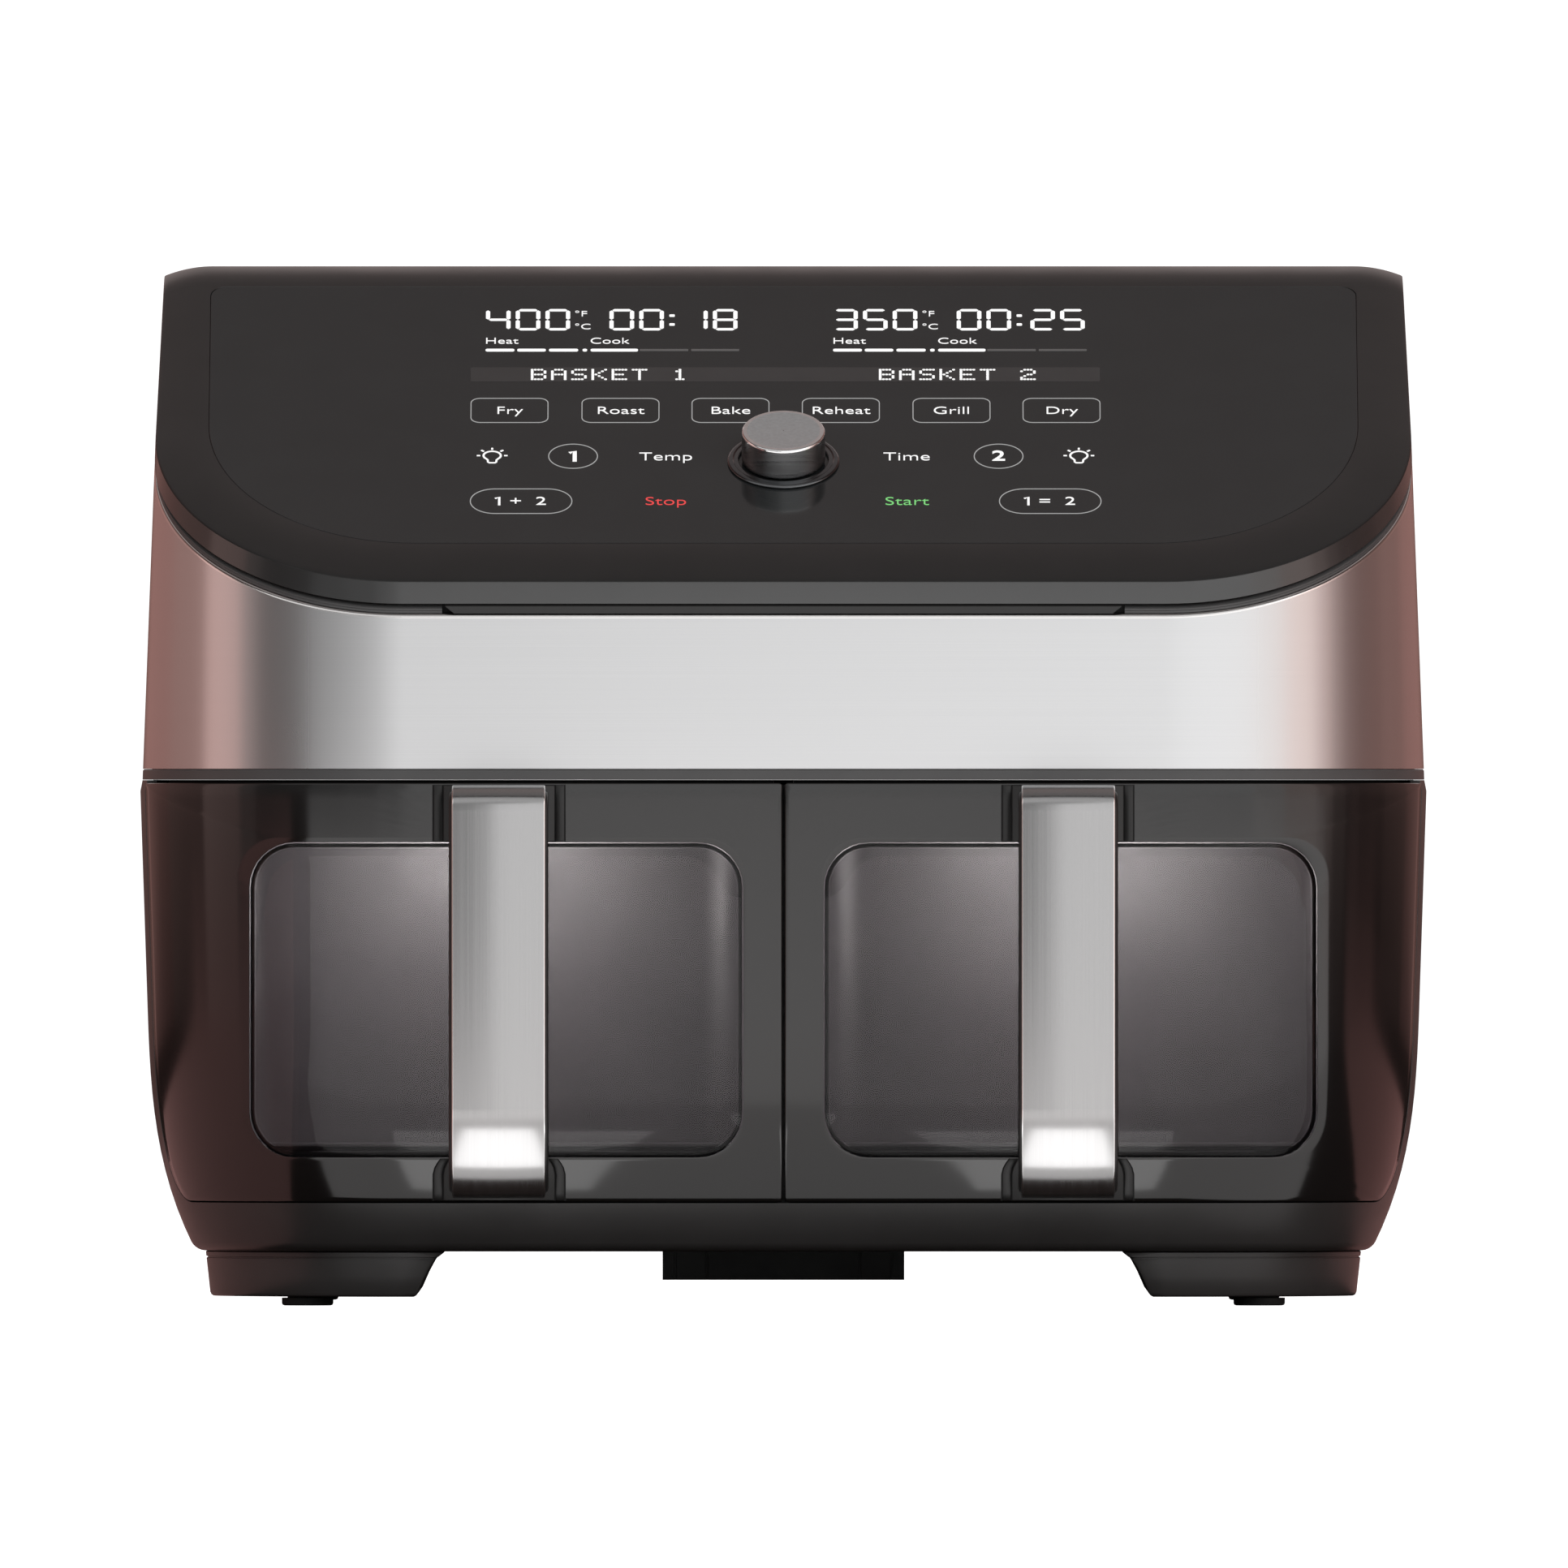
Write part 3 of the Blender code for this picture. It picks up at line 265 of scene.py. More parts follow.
def make_floor():
    """Pale table that looks white but throws little light back, and the cards lying on it."""
    pale = new_material("floor_white", (0.80, 0.80, 0.80), 1.0, Specular_IOR_Level=0.0)
    glow(pale, (1.0, 1.0, 1.0), WHITE_STRENGTH)
    tint(pale, noise(pale, 3.0), (0.79, 0.79, 0.79), (0.81, 0.81, 0.81))
    tree = pale.node_tree
    dim = shader_node(tree, "BsdfDiffuse", Color=(0.070, 0.052, 0.048, 1.0))
    mix, path = shader_node(tree, "MixShader"), shader_node(tree, "LightPath")
    wire(tree, (path.outputs["Is Camera Ray"], mix.inputs["Fac"]), (dim.outputs[0], mix.inputs[1]),
         (shader(pale).outputs[0], mix.inputs[2]), (mix.outputs[0], tree.nodes["Material Output"].inputs["Surface"]))
    h = FLOOR_HALF
    corners = ((-h, -h), (h, -h), (h, h), (-h, h))
    stage_plane("floor", [(x, y, 0.0) for x, y in corners], pale)
    for name, corners, level, radiance, colour in FLOOR_CARDS:
        look = new_material(name, colour, 1.0)
        glow(look, colour, radiance)
        tint(look, noise(look, 3.0), scaled(colour, 0.79), scaled(colour, 0.81))
        card = stage_plane(name, [(x, y, level) for x, y in corners], look)
        card.visible_camera = card.visible_diffuse = card.visible_shadow = False


# ---------------------------------------------------------------- materials

def shader(look):
    return look.node_tree.nodes["Principled BSDF"]


def new_material(name, colour, roughness, metallic=0.0, **extra):
    """A Principled material; extra holds further sockets by name, with _ for a space."""
    look = bpy.data.materials.new(name)
    look.use_nodes = True
    values = {"Base_Color": (*colour, 1.0), "Roughness": roughness, "Metallic": metallic, **extra}
    for key, value in values.items():
        shader(look).inputs[key.replace("_", " ")].default_value = value
    return look


def glow(look, colour, strength):
    """Make a material shine by itself."""
    shader(look).inputs["Emission Color"].default_value = (*colour, 1.0)
    shader(look).inputs["Emission Strength"].default_value = strength


def noise(look, scale, stretch=(1.0, 1.0, 1.0), detail=3.0):
    """Noise in the object's own metres; scale is features per metre."""
    tree = look.node_tree
    place, mapping = shader_node(tree, "TexCoord"), shader_node(tree, "Mapping", Scale=stretch)
    texture = shader_node(tree, "TexNoise", Scale=scale, Detail=detail)
    wire(tree, (place.outputs["Object"], mapping.inputs["Vector"]),
         (mapping.outputs["Vector"], texture.inputs["Vector"]))
    return texture.outputs["Fac"]


def spread(look, source, socket, low, high, start=0.3, end=0.7):
    """Vary a number on the shader between two values as the source goes from start to end."""
    tree = look.node_tree
    ranged = shader_node(tree, "MapRange", From_Min=start, From_Max=end, To_Min=low, To_Max=high)
    wire(tree, (source, ranged.inputs["Value"]), (ranged.outputs["Result"], shader(look).inputs[socket]))


def tint(look, source, low, high):
    """Vary the base colour between two colours with a noise."""
    tree = look.node_tree
    ramp = shader_node(tree, "ValToRGB")
    fill_ramp(ramp.color_ramp, ((0.3, low), (0.7, high)))
    wire(tree, (source, ramp.inputs["Fac"]), (ramp.outputs["Color"], shader(look).inputs["Base Color"]))


def bump(look, source, strength, distance):
    tree = look.node_tree
    node = shader_node(tree, "Bump", Strength=strength, Distance=distance)
    wire(tree, (source, node.inputs["Height"]), (node.outputs["Normal"], shader(look).inputs["Normal"]))


def scaled(colour, factor):
    return tuple(channel * factor for channel in colour)


def plastic(name, colour, roughness, grain=0.25, grain_size=1400.0, level=0.5):
    """Moulded plastic: fine spark texture, slightly uneven gloss and tone."""
    look = new_material(name, colour, roughness, Specular_IOR_Level=level)
    tint(look, noise(look, 60.0), scaled(colour, 0.94), scaled(colour, 1.06))
    spread(look, noise(look, 35.0), "Roughness", roughness * 0.9, roughness * 1.1)
    bump(look, noise(look, grain_size), grain, 0.00003)
    return look


def brushed(name, colour, roughness, stretch, strength=0.12, vary=0.06):
    """Brushed metal whose lines run along the axes with a small stretch."""
    look = new_material(name, colour, roughness, 1.0)
    lines = noise(look, 1.0, stretch, 4.0)
    tint(look, lines, scaled(colour, 1 - vary), scaled(colour, 1 + vary))
    spread(look, noise(look, 1.0, scaled(stretch, 0.6), 2.0), "Roughness", roughness * 0.85, roughness * 1.15)
    bump(look, lines, strength, 0.00002)
    return look


def blur_middle(look, middle, ends):
    """Coarser brushing across the middle of the band than towards its ends."""
    tree = look.node_tree
    place, split, size = [shader_node(tree, kind) for kind in ("TexCoord", "SeparateXYZ", "Math")]
    size.operation = "ABSOLUTE"
    wire(tree, (place.outputs["Object"], split.inputs[0]), (split.outputs["X"], size.inputs[0]))
    spread(look, size.outputs[0], "Roughness", middle, ends, 0.130, 0.168)


# Name, colour, roughness, then any of grain, size of grain and specular level
PLASTICS = (
    ("gloss_dark", (0.013, 0.0122, 0.0119), 0.12, 0.04, 1400.0, 0.7),
    ("dark_plastic", (0.058, 0.0565, 0.056), 0.36, 0.25, 1400.0, 0.45),
    ("lid_dark", (0.024, 0.0238, 0.0238), 0.33, 0.12),
    ("panel", (0.0250, 0.0286, 0.0298), 0.11, 0.02),
    ("grey_plastic", (0.120, 0.121, 0.122), 0.42),
    ("lip_grey", (0.034, 0.034, 0.034), 0.17, 0.05, 1400.0, 1.0),
    ("black_plastic", (0.010, 0.0097, 0.0095), 0.42),
    # gap_black: near-black for the inside of gaps and joints, painted shade where light can't reach
    ("gap_black", (0.0015, 0.0015, 0.0015), 0.8),
    ("coated", (0.058, 0.052, 0.057), 0.42, 0.5, 900.0),
    ("rubber", (0.012, 0.012, 0.012), 0.75, 0.5, 700.0),
    ("silicone", (0.022, 0.021, 0.022), 0.6, 0.3, 700.0),
    ("board", (0.010, 0.085, 0.032), 0.45, 0.3, 500.0),
    ("panel_band", (0.060, 0.061, 0.062), 0.2, 0.03),
)

# Name, colour, roughness, features per metre along each axis, then depth of the lines and uneven tone
METALS = (
    ("steel", (0.665, 0.667, 0.672), 0.34, (6.0, 6.0, 5200.0), 0.03, 0.02),
    # steel_edge: glossier and brighter than the band's steel; the brighter colour is a painted highlight on the bead
    # and the strap edges
    ("steel_edge", (0.86, 0.84, 0.83), 0.16, (6.0, 6.0, 5200.0), 0.03, 0.02),
    # strap_steel: the band's steel darkened for the straps, painted shade for the darker tone their faces take under
    # the lights
    ("strap_steel", (0.40, 0.397, 0.397), 0.22, (5200.0, 6.0, 6.0), 0.03, 0.02),
    ("sheet_metal", (0.42, 0.415, 0.41), 0.38, (20.0, 20.0, 900.0), 0.2),
    ("element", (0.16, 0.14, 0.13), 0.45, (300.0, 300.0, 300.0), 0.3),
    ("dial_side", (0.34, 0.345, 0.35), 0.30, (60.0, 60.0, 3000.0), 0.1),
    ("dial_top", (0.77, 0.84, 0.86), 0.40, (900.0, 900.0, 900.0), 0.1),
    ("dial_rim", (0.95, 0.95, 0.95), 0.12, (400.0, 400.0, 400.0), 0.02),
    ("bezel", (0.15, 0.155, 0.16), 0.22, (900.0, 900.0, 900.0), 0.05),
)

# Name, colour and opacity
GLASSES = (("glass", (0.010, 0.009, 0.010), 0.34), ("clear_glass", (0.10, 0.09, 0.10), 0.16))

# Name, colour and brightness of the lit legends
LIT = (
    ("legend_white", (1.0, 1.0, 1.0), 0.95), ("legend_grey", (0.75, 0.76, 0.76), 0.42),
    ("legend_dim", (0.5, 0.5, 0.5), 0.05), ("legend_red", (1.0, 0.085, 0.085), 0.72),
    ("legend_green", (0.25, 0.80, 0.25), 0.72),
)


def make_materials():
    made = {row[0]: plastic(*row) for row in PLASTICS}
    made.update({row[0]: brushed(*row) for row in METALS})
    blur_middle(made["steel"], 0.32, 0.22)
    for name, colour, opacity in GLASSES:
        made[name] = new_material(name, colour, 0.03, Alpha=opacity, IOR=1.5)
        spread(made[name], noise(made[name], 25.0), "Roughness", 0.02, 0.04)
    for name, colour, strength in LIT:
        made[name] = plastic(name, scaled(colour, 0.3), 0.5, 0.02)
        glow(made[name], colour, strength)
    lamp = made["lamp_glow"] = new_material("lamp_glow", (0.95, 0.90, 0.82), 0.4)
    glow(lamp, (1.0, 0.90, 0.84), 6.0)
    tint(lamp, noise(lamp, 400.0), (0.90, 0.84, 0.76), (0.98, 0.93, 0.86))
    return made


looks = make_materials()


# ---------------------------------------------------------------- shape of the body

def arc(cx, cy, radius, start, end, steps):
    """Points of an arc, angles in degrees."""
    angles = [math.radians(start + (end - start) * k / steps) for k in range(steps + 1)]
    return [(cx + radius * math.cos(a), cy + radius * math.sin(a)) for a in angles]


def inset(z):
    """How far the skin stands inside the widest outline at height z."""
    if z > DECK_Z - 0.2:
        return HALF_WIDTH - UPPER_HALF_WIDTH + UPPER_DRAFT * (z - STEEL_Z)
    tuck = max(0.0, TUCK_Z - z) / TUCK_SPAN
    return LOWER_DRAFT * max(0.0, WIDEST_Z - z) + TUCK_DEPTH * tuck ** 3


def lid_edge(y):
    """Height of the lid's crisp edge: slope, round ridge, flat top."""
    if y <= SLOPE_END_Y:
        return EDGE_FRONT_Z + (y - EDGE_FRONT_Y) * SLOPE
    if y >= FLAT_START_Y:
        return FLAT_EDGE_Z
    return FLAT_EDGE_Z - RIDGE_RADIUS + math.sqrt(RIDGE_RADIUS ** 2 - (FLAT_START_Y - y) ** 2)


def front_arc(d, steps=FRONT_STEPS):
    return arc(FLAT_END, FRONT_Y + FRONT_CORNER, FRONT_CORNER - d, -90, 0, steps)


def rear_arc(d):
    return arc(HALF_WIDTH - REAR_CORNER, REAR_Y - REAR_CORNER, REAR_CORNER - d, 0, 90, REAR_STEPS)


RIDGE_STATIONS = [SLOPE_END_Y + (FLAT_START_Y - SLOPE_END_Y) * k / 10 for k in range(11)]
SIDE_STATIONS = [-50.0, -25.0] + RIDGE_STATIONS + [60.0, 100.0]


def whole_half(d):
    """Right half of the plan outline moved in by d, front centre to rear centre."""
    return front_arc(d) + [(HALF_WIDTH - d, y) for y in SIDE_STATIONS] + rear_arc(d)


def lifted(half, depth, level):
    """Points of a half outline, `depth` inside the skin, at a height or at level(y)."""
    points = []
    for k in range(len(half(0.0))):
        z = level if not callable(level) else lid_edge(0.0)
        for _ in range(6):
            x, y = half(inset(z) + depth)[k]
            z = level(y) if callable(level) else level
        points.append((x, y, z))
    return points


def flipped(points):
    return [(-x, y, z) for x, y, z in reversed(points)]


def body_loop(depth, level):
    right = lifted(whole_half, depth, level)
    return right + flipped(right)


def skin_point(u, z, depth):
    """Point on the front skin; u runs out from the middle along the plan outline."""
    r = FRONT_CORNER - inset(z) - depth
    if u <= FLAT_END:
        return (u, FRONT_Y + inset(z) + depth, z)
    a = (u - FLAT_END) / FRONT_CORNER
    return (FLAT_END + r * math.sin(a), FRONT_Y + FRONT_CORNER - r * math.cos(a), z)


# ---------------------------------------------------------------- mesh helpers

def cover(loops, ring=False, caps="flat", paint=None, matrix=None):
    """Quads over a row of loops; caps "strips" run across x, ring joins the last loop to the first.

    paint(i, k) gives the material index of face k between loops i and i + 1.
    """
    builder = bmesh.new()
    rows = [[builder.verts.new(Vector(p)) for p in loop] for loop in loops]
    size = len(rows[0])
    pairs = list(zip(rows, rows[1:]))
    if ring:
        pairs.append((rows[-1], rows[0]))
    for i, (low, high) in enumerate(pairs):
        for k in range(size):
            after = (k + 1) % size
            face = builder.faces.new((low[k], low[after], high[after], high[k]))
            if paint:
                face.material_index = paint(i, k)
    if not ring and caps:
        for row in (rows[0], rows[-1]):
            if caps == "flat":
                builder.faces.new(row)
            else:
                for k in range(size // 2 - 1):
                    builder.faces.new((row[k], row[k + 1], row[size - 2 - k], row[size - 1 - k]))
    if matrix is not None:
        bmesh.ops.transform(builder, matrix=matrix, verts=builder.verts)
    bmesh.ops.recalc_face_normals(builder, faces=builder.faces)
    return builder


def piece(name, builder, looks_used, smooth=32.0):
    """Make an object in metres from a bmesh in millimetres."""
    bmesh.ops.scale(builder, vec=(MM, MM, MM), verts=builder.verts)
    mesh = bpy.data.meshes.new(name)
    builder.to_mesh(mesh)
    builder.free()
    for look in looks_used:
        mesh.materials.append(looks[look])
    mesh.shade_smooth()
    mesh.set_sharp_from_angle(angle=math.radians(smooth))
    made = bpy.data.objects.new(name, mesh)
    bpy.context.scene.collection.objects.link(made)
    return made


def place(made, body, slot, *nodes):
    """Ride on a body and stand for the nodes it replaces; slot is not used."""
    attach(made, body)
    if nodes:
        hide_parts(*nodes)


def mirrored(made, name):
    """Left-hand twin of a right-hand piece."""
    twin = made.copy()
    twin.name = name
    twin.data = made.data.copy()
    builder = bmesh.new()
    builder.from_mesh(twin.data)
    bmesh.ops.scale(builder, vec=(-1, 1, 1), verts=builder.verts)
    bmesh.ops.reverse_faces(builder, faces=builder.faces)
    builder.to_mesh(twin.data)
    builder.free()
    bpy.context.scene.collection.objects.link(twin)
    return twin


def both(node, body, slot, made):
    """Place a right-hand piece and its twin as the fine versions of a pair of nodes.

    body is a name whose {} holds the side, or a plain name.
    """
    twin = mirrored(made, f"left_{node}_fine")
    made.name = f"right_{node}_fine"
    for side, one in (("right", made), ("left", twin)):
        place(one, body.format(side), slot, f"{side}_{node}")


def turned(profile, matrix, steps=64, ring=False, paint=None):
    """Turn (radius, height) points about the local z axis."""
    loops = []
    for radius, height in profile:
        angles = [2 * math.pi * k / steps for k in range(steps)]
        loops.append([(radius * math.cos(a), radius * math.sin(a), height) for a in angles])
    return cover(loops, ring=ring, paint=paint, matrix=matrix)


def prism_x(points, x0, x1):
    return cover([[(x, y, z) for y, z in points] for x in (x0, x1)])


def prism_y(points, y0, y1):
    return cover([[(x, y, z) for x, z in points] for y in (y0, y1)])


def prism_z(points, z0, z1, matrix=None):
    return cover([[(x, y, z) for x, y in points] for z in (z0, z1)], matrix=matrix)


def box(low, high):
    (x0, y0, z0), (x1, y1, z1) = low, high
    return prism_z([(x0, y0), (x1, y0), (x1, y1), (x0, y1)], z0, z1)


def combine(target, builder, operation, looks_used=()):
    """Join, cut or trim a piece with a tool mesh."""
    tool = piece("tool", builder, looks_used)
    modifier = target.modifiers.new(operation, "BOOLEAN")
    modifier.operation = operation
    modifier.object = tool
    bpy.context.view_layer.update()
    graph = bpy.context.evaluated_depsgraph_get()
    mesh = bpy.data.meshes.new_from_object(target.evaluated_get(graph))
    target.modifiers.remove(modifier)
    target.data = mesh
    bpy.data.objects.remove(tool)


def sharpen(made, angle=32.0):
    """Round what is smooth and keep real edges crisp after cutting."""
    made.data.shade_smooth()
    made.data.set_sharp_from_angle(angle=math.radians(angle))
    return made


def soften(made, width):
    """Bevel the piece's sharp edges; width in millimetres."""
    modifier = made.modifiers.new("edges", "BEVEL")
    modifier.width = width * MM
    modifier.segments = 2
    modifier.limit_method = "ANGLE"
    modifier.angle_limit = math.radians(40.0)
    modifier.harden_normals = True
    return made


def rounded_outline(u0, u1, z0, z1, radii, across=30, up=16, corner=8):
    """Closed outline from the lower right corner round, radii = (lower right, upper right,
    upper left, lower left); every outline made with the same steps has matching points."""
    lr, ur, ul, ll = radii
    corners = [arc(u1 - lr, z0 + lr, lr, -90, 0, corner), arc(u1 - ur, z1 - ur, ur, 0, 90, corner),
               arc(u0 + ul, z1 - ul, ul, 90, 180, corner), arc(u0 + ll, z0 + ll, ll, 180, 270, corner)]
    points = []
    for k, bend in enumerate(corners):
        points += bend
        (a, b), (c, d) = bend[-1], corners[(k + 1) % 4][0]
        steps = up if k % 2 == 0 else across
        points += [(a + (c - a) * j / steps, b + (d - b) * j / steps) for j in range(1, steps)]
    return points


# ---------------------------------------------------------------- housing

def drawer_zone():
    """Side profile of the space the drawer fronts fill, with its rounded lower rear corner."""
    y, z, r = SEAM_Y, SILL_Z, SEAM_CORNER
    return [(-FAR, z)] + arc(y - r, z + r, r, -90, 0, 14) + [(y, 175.0), (-FAR, 175.0)]


def base_tub():
    levels = [19.6] + [24.0 + 6.0 * k for k in range(13)] + [110.0, 130.0, 148.0, WIDEST_Z, 163.42]
    outer = [body_loop(2.7 * (1 - math.sin(a)), BASE_Z + 2.7 * (1 - math.cos(a)))
             for a in [math.radians(90 * k / 5) for k in range(5)]]
    outer += [body_loop(0.0, z) for z in levels]
    inner = [body_loop(TUB_WALL, z) for z in [BASE_Z + TUB_WALL] + levels[1:]]
    tub = piece("base_tub_fine", cover(outer + inner[::-1]), ["dark_plastic"])
    combine(tub, prism_x(drawer_zone(), -FAR, FAR), "DIFFERENCE")
    combine(tub, box((-2.0, -116.0, BASE_Z + 1), (2.0, 130.0, 162.0)), "UNION")
    place(soften(sharpen(tub), 0.35), "housing", "dark_plastic", "base_tub")


def foot_rails():
    """Blocks under the base with a groove near the top and a flared inner end."""
    rail_top, rear_y = 16.55, 150.0
    levels = ((FOOT_Z, 0.9), (3.2, 0.3), (4.0, 0.0), (9.0, 0.0), (13.0, 0.0), (14.6, 0.0), (14.7, 0.5),
              (15.1, 0.5), (15.2, 0.0), (rail_top, 0.0))
    loops = []
    for z, tuck in levels:
        t = (z - FOOT_Z) / (rail_top - FOOT_Z)
        inner_x = 114.0 - 6.0 * t - 2.5 * t ** 6 + tuck
        d = HALF_WIDTH - (178.5 + 1.5 * t) + tuck
        front = FRONT_Y + d
        plan = [(inner_x + 1.5, front), (inner_x + 0.4, front + 0.4), (inner_x, front + 1.5)][::-1]
        plan += front_arc(d) + [(HALF_WIDTH - d, rear_y - 2.0), (HALF_WIDTH - d - 2.0, rear_y), (inner_x, rear_y)]
        loops.append([(x, y, z) for x, y in plan])
    both("foot_rail", "housing", "dark_plastic", piece("foot_rail", cover(loops), ["dark_plastic"]))


def rubber_feet():
    profile = [(3.0, 0.3), (3.4, 0.0), (7.2, 0.0), (7.8, 0.25), (8.0, 0.8), (8.0, FOOT_Z - GAP)]
    for side, x in (("left", -148.0), ("right", 148.0)):
        for end, y in (("front", -108.0), ("rear", 136.0)):
            name = f"{end}_{side}_foot"
            made = piece(f"{name}_fine", turned(profile, Matrix.Translation((x, y, 0.0)), 48), ["rubber"])
            place(made, "housing", "rubber", name)


def rear_spacer():
    spacer = piece("rear_spacer_fine", box((-38.0, 122.0, 6.3), (38.0, 192.0, 16.5)), ["black_plastic"])
    combine(spacer, box((-34.0, 181.0, 10.0), (34.0, 191.9, 58.0)), "UNION")
    for x in (-34.4, -24.4, 23.6, 33.6):
        combine(spacer, box((x, 121.0, 5.9), (x + 0.8, 123.0, 17.0)), "DIFFERENCE")
    for k in range(5):
        combine(spacer, box((-26.0, 190.9, 22.0 + 7.0 * k), (26.0, 193.0, 24.5 + 7.0 * k)), "DIFFERENCE")
    place(soften(sharpen(spacer), 0.5), "housing", "black_plastic", "rear_spacer")


def deck_plate():
    """Plate between the chambers and the upper bay, whose edge is the trim strip over the drawers.

    Its raised rim and the skirt under it keep light from passing right through the gaps; the skirt is near-black,
    painted shade for the gap above the drawers.
    """
    levels = ((0.3, 163.55), (0.0, 163.6), (0.0, 166.4), (0.4, 166.8), (2.9, 166.8), (3.0, 168.6), (4.4, 168.6),
              (4.5, 166.8))
    loops = [body_loop(depth, z) for depth, z in levels]
    deck = piece("deck_plate_fine", cover(loops), ["grey_plastic"])
    for x in (-AIR_X, AIR_X):
        combine(deck, turned([(AIR_HOLE_RADIUS, 150.0), (AIR_HOLE_RADIUS, 180.0)],
                             Matrix.Translation((x, AIR_Y, 0.0))), "DIFFERENCE")
    place(sharpen(deck), "housing", "grey_plastic", "deck_plate")
    # Near-black skirt under the deck's front edge: painted shade in the gap over the drawers.
    section = ((3.4, 163.5), (3.4, 161.4), (4.6, 161.4), (4.6, 163.5))
    rows = [[point for point in body_loop(depth, z) if point[1] > SKIRT_START_Y] for depth, z in section]
    place(piece("deck_skirt", cover(list(zip(*rows))), ["gap_black"]), "housing", "black_plastic")


def steel_top(y):
    return lid_edge(y) - LIP - JOINT_HEIGHT


def steel_band():
    """Brushed wrap round the front and sides with a polished upper edge whose brighter colour is a painted highlight.
    """
    def half(d):
        return front_arc(d) + [(HALF_WIDTH - d, y) for y in SIDE_STATIONS + [STEEL_END_Y]]

    def below(drop):
        return lambda y: steel_top(y) - drop
    bead = [(depth, below(drop)) for depth, drop in arc(1.0, 1.0, 1.0, 180, 270, 6)]
    section = [(0.05, STEEL_Z), (0.0, STEEL_Z + 0.05)] + bead + [(1.5, below(0.3)), (1.5, STEEL_Z)]
    rows = [lifted(half, depth, level) for depth, level in section]
    rows = [flipped(row) + row for row in rows]
    # The bead's faces take the brighter steel: painted highlight along the upper edge.
    made = cover(list(zip(*rows)), paint=lambda i, k: 1 if 2 <= k <= 7 else 0)
    place(piece("steel_band_fine", made, ["steel", "steel_edge"]), "housing", "steel", "steel_band")


def rear_cover():
    """Back panel with two fields of vent slots and a shallow border groove."""
    def half(d):
        return [(x, y) for x, y in reversed([(HALF_WIDTH - d, STEEL_END_Y + GAP)] + rear_arc(d))]
    section = ((0.3, STEEL_Z), (0.0, STEEL_Z + 0.4), (0.0, lambda y: steel_top(y) - 0.6),
               (0.5, steel_top), (2.5, steel_top), (2.5, STEEL_Z))
    rows = [lifted(half, depth, level) for depth, level in section]
    rows = list(zip(*rows))
    rows = rows[::-1] + [[(-x, y, z) for x, y, z in row] for row in rows]
    made = piece("rear_cover_fine", cover(rows), ["black_plastic"])
    for x in (-AIR_X, AIR_X):
        for k in range(6):
            z = 222.0 + 9.0 * k
            outline = rounded_outline(x - 32.0, x + 32.0, z, z + 3.5, (1.7,) * 4, 2, 1, 4)
            combine(made, prism_y(outline, 150.0, 190.0), "DIFFERENCE")
    place(sharpen(made), "housing", "black_plastic", "rear_cover")


def below_edge(drop):
    return lambda y: lid_edge(y) - drop


def lid_gasket():
    """Near-black wall deep inside the joint, painted shade for the black line round the lid, and the ring that shows
    under that line.
    """
    corners = ((3.0, 6.1), (3.0, 0.4), (6.0, 0.4), (6.0, 6.1))
    wall = [body_loop(depth, below_edge(LIP + drop)) for depth, drop in corners]
    place(piece("lid_gasket_fine", cover(wall, ring=True), ["gap_black"]), "housing", "black_plastic", "lid_gasket")
    section = ((2.9, 1.5), (0.75, 1.5), (0.6, 1.6), (0.6, 2.05), (0.75, 2.15), (0.6, 2.25), (0.6, 2.85), (0.75, 2.95),
               (2.9, 2.95))
    rows = []
    for depth, drop in section:
        row = body_loop(depth, below_edge(LIP + drop))
        (_, y, z), end = row[0], JOINT_RING_START
        rows.append([(end, y, z)] + row + [(-end, y, z)])
    place(piece("joint_ring", cover(list(zip(*rows))), ["grey_plastic"]), "housing", "black_plastic")


def lid_trim():
    """Tongue that closes the middle of the front joint, with slanted ends."""
    front = FRONT_Y + inset(EDGE_FRONT_Z - LIP - JOINT_HEIGHT)
    loops = []
    for y, grow in ((front, -0.15), (front + 0.15, 0.0), (front + 2.4, 0.0)):
        low = steel_top(y) + GAP - grow
        high = EDGE_FRONT_Z - LIP + (y - EDGE_FRONT_Y) * SLOPE - GAP + grow
        loops.append([(-102.3, y, low), (102.3, y, low), (105.0, y, high), (-105.0, y, high)])
    place(piece("lid_trim_fine", cover(loops), ["lid_dark"]), "housing", "grey_plastic", "lid_trim")


def lid_shell():
    """Lid: vertical lip, crisp edge, rolled border and the recess for the touch panel."""
    finishes = ["lid_dark", "lip_grey"]

    def rolled(share):
        return lambda y: lid_edge(y) + ROLL_RISE * (1 - (1 - share) ** 2)
    drops = ((ROLL_WIDTH, 2.2), (2.5, 2.2), (2.5, LIP), (0.3, LIP), (0.0, LIP - 0.3), (0.0, 0.25), (0.12, 0.06))
    section = [(depth, below_edge(drop)) for depth, drop in drops] + [(0.45, rolled(0.03))]
    section += [(ROLL_WIDTH * k / 10, rolled(k / 10)) for k in range(1, 11)]
    loops = [body_loop(depth, level) for depth, level in section]
    made = cover(loops, caps="strips", paint=lambda i, k: 1 if i in (3, 4) else 0)
    lid = piece("lid_shell_fine", made, finishes)
    pocket = [panel_loop(0.15, -1.9), panel_loop(0.15, 20.0)]
    combine(lid, cover(pocket, caps="strips"), "DIFFERENCE", finishes)
    combine(lid, stem_hole(), "DIFFERENCE", finishes)
    place(sharpen(lid, 24.0), "housing", "dark_plastic", "lid_shell")


# ---------------------------------------------------------------- controls

